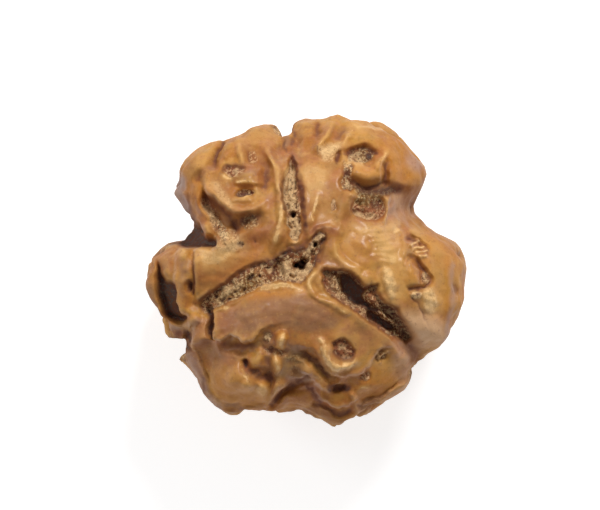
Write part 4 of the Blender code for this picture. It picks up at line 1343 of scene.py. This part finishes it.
def ramp(value, start, end, low_value=0.0, high_value=1.0):
    node = nodes.new("ShaderNodeMapRange")
    node.interpolation_type = "SMOOTHSTEP"
    links.new(value, node.inputs["Value"])
    node.inputs["From Min"].default_value = start
    node.inputs["From Max"].default_value = end
    node.inputs["To Min"].default_value = low_value
    node.inputs["To Max"].default_value = high_value
    return node.outputs["Result"]


def linear(red, green, blue):
    """An eight-bit display colour as the linear one that Blender mixes."""
    return (*[((c / 255 + 0.055) / 1.055) ** 2.4 for c in (red, green, blue)], 1)


def mixed(factor, first, second, blend="MIX"):
    node = nodes.new("ShaderNodeMix")
    node.data_type = "RGBA"
    node.blend_type = blend
    if isinstance(factor, (int, float)):
        node.inputs["Factor"].default_value = factor
    else:
        links.new(factor, node.inputs["Factor"])
    for name, value in (("A", first), ("B", second)):
        socket = next(s for s in node.inputs if s.name == name and s.type == "RGBA")
        if isinstance(value, tuple):
            socket.default_value = value
        else:
            links.new(value, socket)
    return next(s for s in node.outputs if s.type == "RGBA")


OCHRE = linear(184, 130, 60)
AMBER = linear(162, 102, 44)
GOLD = linear(190, 126, 48)
MAUVE = linear(144, 102, 72)
PALE_PAINTED_LIGHT = linear(196, 154, 120)
LILAC_SHEEN = linear(160, 138, 132)
CREAM = linear(204, 156, 92)
RUSSET = linear(140, 78, 44)
UMBER = linear(124, 74, 48)
PLUM = linear(92, 60, 56)
IVORY_HIGHLIGHT = linear(242, 200, 138)
ROSE = linear(186, 116, 82)
TAN = linear(182, 134, 92)
STRAW = linear(240, 202, 150)
OLIVE = linear(134, 108, 54)
BROWN = linear(116, 74, 52)
SHADE_BLACK_BROWN = linear(92, 80, 75)

clouds = texture("ShaderNodeTexNoise", 0.22, Detail=3.0, Roughness=0.55)
mottle = texture("ShaderNodeTexNoise", 1.3, Detail=4.0, Roughness=0.6)
colour_mark = texture("ShaderNodeTexNoise", 0.7, Detail=3.0, Roughness=0.6)
specks = texture("ShaderNodeTexNoise", 4.2, Detail=3.0, Roughness=0.7)
fibres = texture("ShaderNodeTexNoise", 10.0, Detail=3.0, Roughness=0.65, Distortion=0.4)
crumbs = texture("ShaderNodeTexVoronoi", 7.0)
hues = texture("ShaderNodeTexNoise", 1.1, Detail=4.0, Roughness=0.65, Distortion=0.3)
clumps = texture("ShaderNodeTexNoise", 2.4, Detail=2.0, Roughness=0.6)

color = mixed(ramp(clouds.outputs["Fac"], 0.40, 0.60), AMBER, OCHRE)
color = mixed(ramp(hues.outputs["Fac"], 0.50, 0.66, 0.0, 0.30), color, ROSE)
color = mixed(ramp(hues.outputs["Fac"], 0.50, 0.36, 0.0, 0.25), color, OLIVE)
color = mixed(ramp(colour_mark.outputs["Fac"], 0.51, 0.68, 0.0, 0.45), color, RUSSET)
color = mixed(ramp(colour_mark.outputs["Fac"], 0.47, 0.31, 0.0, 0.40), color, CREAM)
mauve = math_node("MULTIPLY", mask("mauve"), ramp(mottle.outputs["Fac"], 0.30, 0.55, 0.65, 1.0))
color = mixed(math_node("MULTIPLY", mauve, 0.9), color, MAUVE)
color = mixed(math_node("MULTIPLY", mask("gold"), 0.8), color, GOLD)
color = mixed(math_node("MULTIPLY", mask("olive"), 0.6), color, OLIVE)
color = mixed(math_node("MULTIPLY", mask("red"), 0.75), color, RUSSET)
cream_and_highlight = math_node("MULTIPLY", mask("cream_and_highlight"), ramp(mottle.outputs["Fac"], 0.38, 0.58, 0.5, 1.0))
color = mixed(math_node("MULTIPLY", cream_and_highlight, 0.75), color, CREAM)
# Painted highlights: ivory glints where the pale patches and highlights are strongest
ivory_highlight = ramp(specks.outputs["Fac"], 0.42, 0.60, 0.35, 0.75)
ivory_highlight = math_node("MULTIPLY", ramp(mask("cream_and_highlight"), 0.7, 1.0), ivory_highlight)
color = mixed(ivory_highlight, color, IVORY_HIGHLIGHT)
# Painted highlights on the crests, and painted umber shade in the hollows
color = mixed(ramp(mask("crest"), 0.25, 0.9, 0.0, 0.25), color, CREAM)
color = mixed(ramp(mask("hollow"), 0.15, 0.85, 0.0, 0.75), color, UMBER)
# Painted light and sheen: pale pink along rims and on shaded slopes, and a lavender sheen
color = mixed(math_node("MULTIPLY", mask("painted_light"), 0.75), color, PALE_PAINTED_LIGHT)
color = mixed(math_node("MULTIPLY", mask("painted_lilac_sheen"), 0.7), color, LILAC_SHEEN)
# Painted shade: the lower flanks a little mauve
color = mixed(ramp(mask("flank"), 0.8, 1.0, 0.0, 0.12), color, MAUVE)
straw = mixed(ramp(clumps.outputs["Fac"], 0.36, 0.54), BROWN, TAN)
straw = mixed(ramp(crumbs.outputs["Color"], 0.50, 0.64, 0.0, 1.0), straw, STRAW)
straw = mixed(ramp(crumbs.outputs["Color"], 0.42, 0.30, 0.0, 0.5), straw, RUSSET)
straw = mixed(ramp(fibres.outputs["Fac"], 0.47, 0.36, 0.0, 0.9), straw, PLUM)
straw = mixed(math_node("MULTIPLY", mask("olive"), 0.45), straw, OLIVE)
straw = mixed(math_node("MULTIPLY", mask("red"), 0.5), straw, ROSE)
straw = mixed(math_node("MULTIPLY", mask("cream_and_highlight"), 0.85), straw, STRAW)
straw = mixed(ramp(specks.outputs["Fac"], 0.60, 0.70, 0.0, 0.6), straw, CREAM)
straw = mixed(ramp(specks.outputs["Fac"], 0.44, 0.36, 0.0, 0.8), straw, PLUM)
color = mixed(ramp(mask("fibre"), 0.2, 0.8, 0.0, 0.95), color, straw)
# Painted shade: plum, and near-black brown where it is strongest
dark = math_node("MULTIPLY", mask("dark"), ramp(specks.outputs["Fac"], 0.36, 0.56, 1.08, 0.86))
color = mixed(ramp(dark, 0.05, 0.95, 0.0, 0.85), color, PLUM)
color = mixed(ramp(dark, 0.80, 1.0, 0.0, 0.95), color, SHADE_BLACK_BROWN)
color = mixed(ramp(specks.outputs["Fac"], 0.54, 0.70, 0.0, 0.36), color, UMBER)
color = mixed(ramp(specks.outputs["Fac"], 0.44, 0.30, 0.0, 0.22), color, CREAM)
links.new(color, shader.inputs["Base Color"])

rough = ramp(mottle.outputs["Fac"], 0.35, 0.65, 0.42, 0.52)
rough = math_node("ADD", rough, math_node("MULTIPLY", cream_and_highlight, 0.04))
rough = math_node("ADD", rough, math_node("MULTIPLY", mask("fibre"), 0.40))
rough = math_node("ADD", rough, math_node("MULTIPLY", mask("dark"), 0.25), clamp=True)
links.new(rough, shader.inputs["Roughness"])
dull = math_node("MAXIMUM", mask("dark"), mask("fibre"))
dull = math_node("MAXIMUM", dull, math_node("MULTIPLY", mask("flank"), 0.75))
links.new(ramp(dull, 0.1, 0.9, 0.30, 0.0), shader.inputs["Specular IOR Level"])
dull = math_node("MAXIMUM", dull, math_node("MULTIPLY", cream_and_highlight, 0.3))
links.new(ramp(dull, 0.1, 0.6, 0.16, 0.0), shader.inputs["Coat Weight"])

wax = math_node("MULTIPLY", mottle.outputs["Fac"], 0.04)
pores = math_node("MULTIPLY", specks.outputs["Fac"], 0.015)
threads = math_node("MULTIPLY", math_node("MULTIPLY", fibres.outputs["Fac"], mask("fibre")), 0.20)
surface = math_node("ADD", math_node("ADD", wax, pores), threads)
raised_surface = nodes.new("ShaderNodeBump")
raised_surface.inputs["Strength"].default_value = 1.0
raised_surface.inputs["Distance"].default_value = MM
links.new(surface, raised_surface.inputs["Height"])
links.new(raised_surface.outputs["Normal"], shader.inputs["Normal"])
stone_mesh.materials.append(material)

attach(stone, "root")
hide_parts("rudraksha_bead")


# A plain white table top under the stone, faintly lit from below, as a product table is. It lies a hair
# below the stone's flat spot, so that the two faces don't share one plane.
TABLE_HALF_SIZE = 0.6
TABLE_GAP = 0.02 * MM
floor_mesh = bpy.data.meshes.new("table_top")
sheet = bmesh.new()
bmesh.ops.create_grid(sheet, x_segments=1, y_segments=1, size=TABLE_HALF_SIZE)
sheet.to_mesh(floor_mesh)
sheet.free()
floor_material = bpy.data.materials.new("white_board")
floor_material.use_nodes = True
board = floor_material.node_tree.nodes["Principled BSDF"]
board.inputs["Base Color"].default_value = (0.62, 0.62, 0.62, 1)
board.inputs["Roughness"].default_value = 0.8
board.inputs["Emission Color"].default_value = (1, 1, 1, 1)
board.inputs["Emission Strength"].default_value = 0.70
floor_mesh.materials.append(floor_material)
floor = bpy.data.objects.new("table_top", floor_mesh)
bpy.context.collection.objects.link(floor)
floor.location.z = -TABLE_GAP


# Soft studio light: a white room, with a soft box beyond the top of the picture and a weaker one to
# its left. Both are aimed at the middle of the stone.
def soft_box(name, place, aim, size, watts):
    light = bpy.data.lights.new(name, "AREA")
    light.shape = "DISK"
    light.size = size
    light.energy = watts
    body_of_light = bpy.data.objects.new(name, light)
    body_of_light.location = place
    body_of_light.rotation_euler = (Vector(aim) - Vector(place)).to_track_quat("-Z", "Y").to_euler()
    bpy.context.collection.objects.link(body_of_light)


soft_box("key", (0.07, 0.22, 0.26), (0, 0, WIDEST_LEVEL), 0.10, 0.92)
soft_box("side", (-0.25, 0.10, 0.22), (0, 0, WIDEST_LEVEL), 0.14, 0.20)
world = bpy.data.worlds.new("white_room")
world.use_nodes = True
world.node_tree.nodes["Background"].inputs["Color"].default_value = (1, 1, 1, 1)
world.node_tree.nodes["Background"].inputs["Strength"].default_value = 0.36
bpy.context.scene.world = world
bpy.context.scene.view_settings.view_transform = "Standard"


# The camera looks straight down on the upper pole, as the photograph does. Its lens takes in the
# photograph's width at the level where the stone is widest.
camera = bpy.data.cameras.new("camera")
camera.sensor_width = 36
camera.lens = camera.sensor_width * VIEW_DISTANCE / (VIEW_WIDTH_PX * PIXEL)
camera.clip_start = 0.01
viewer = bpy.data.objects.new("camera", camera)
viewer.location = (CAMERA_X, CAMERA_Y, WIDEST_LEVEL + VIEW_DISTANCE)
bpy.context.collection.objects.link(viewer)
bpy.context.scene.camera = viewer
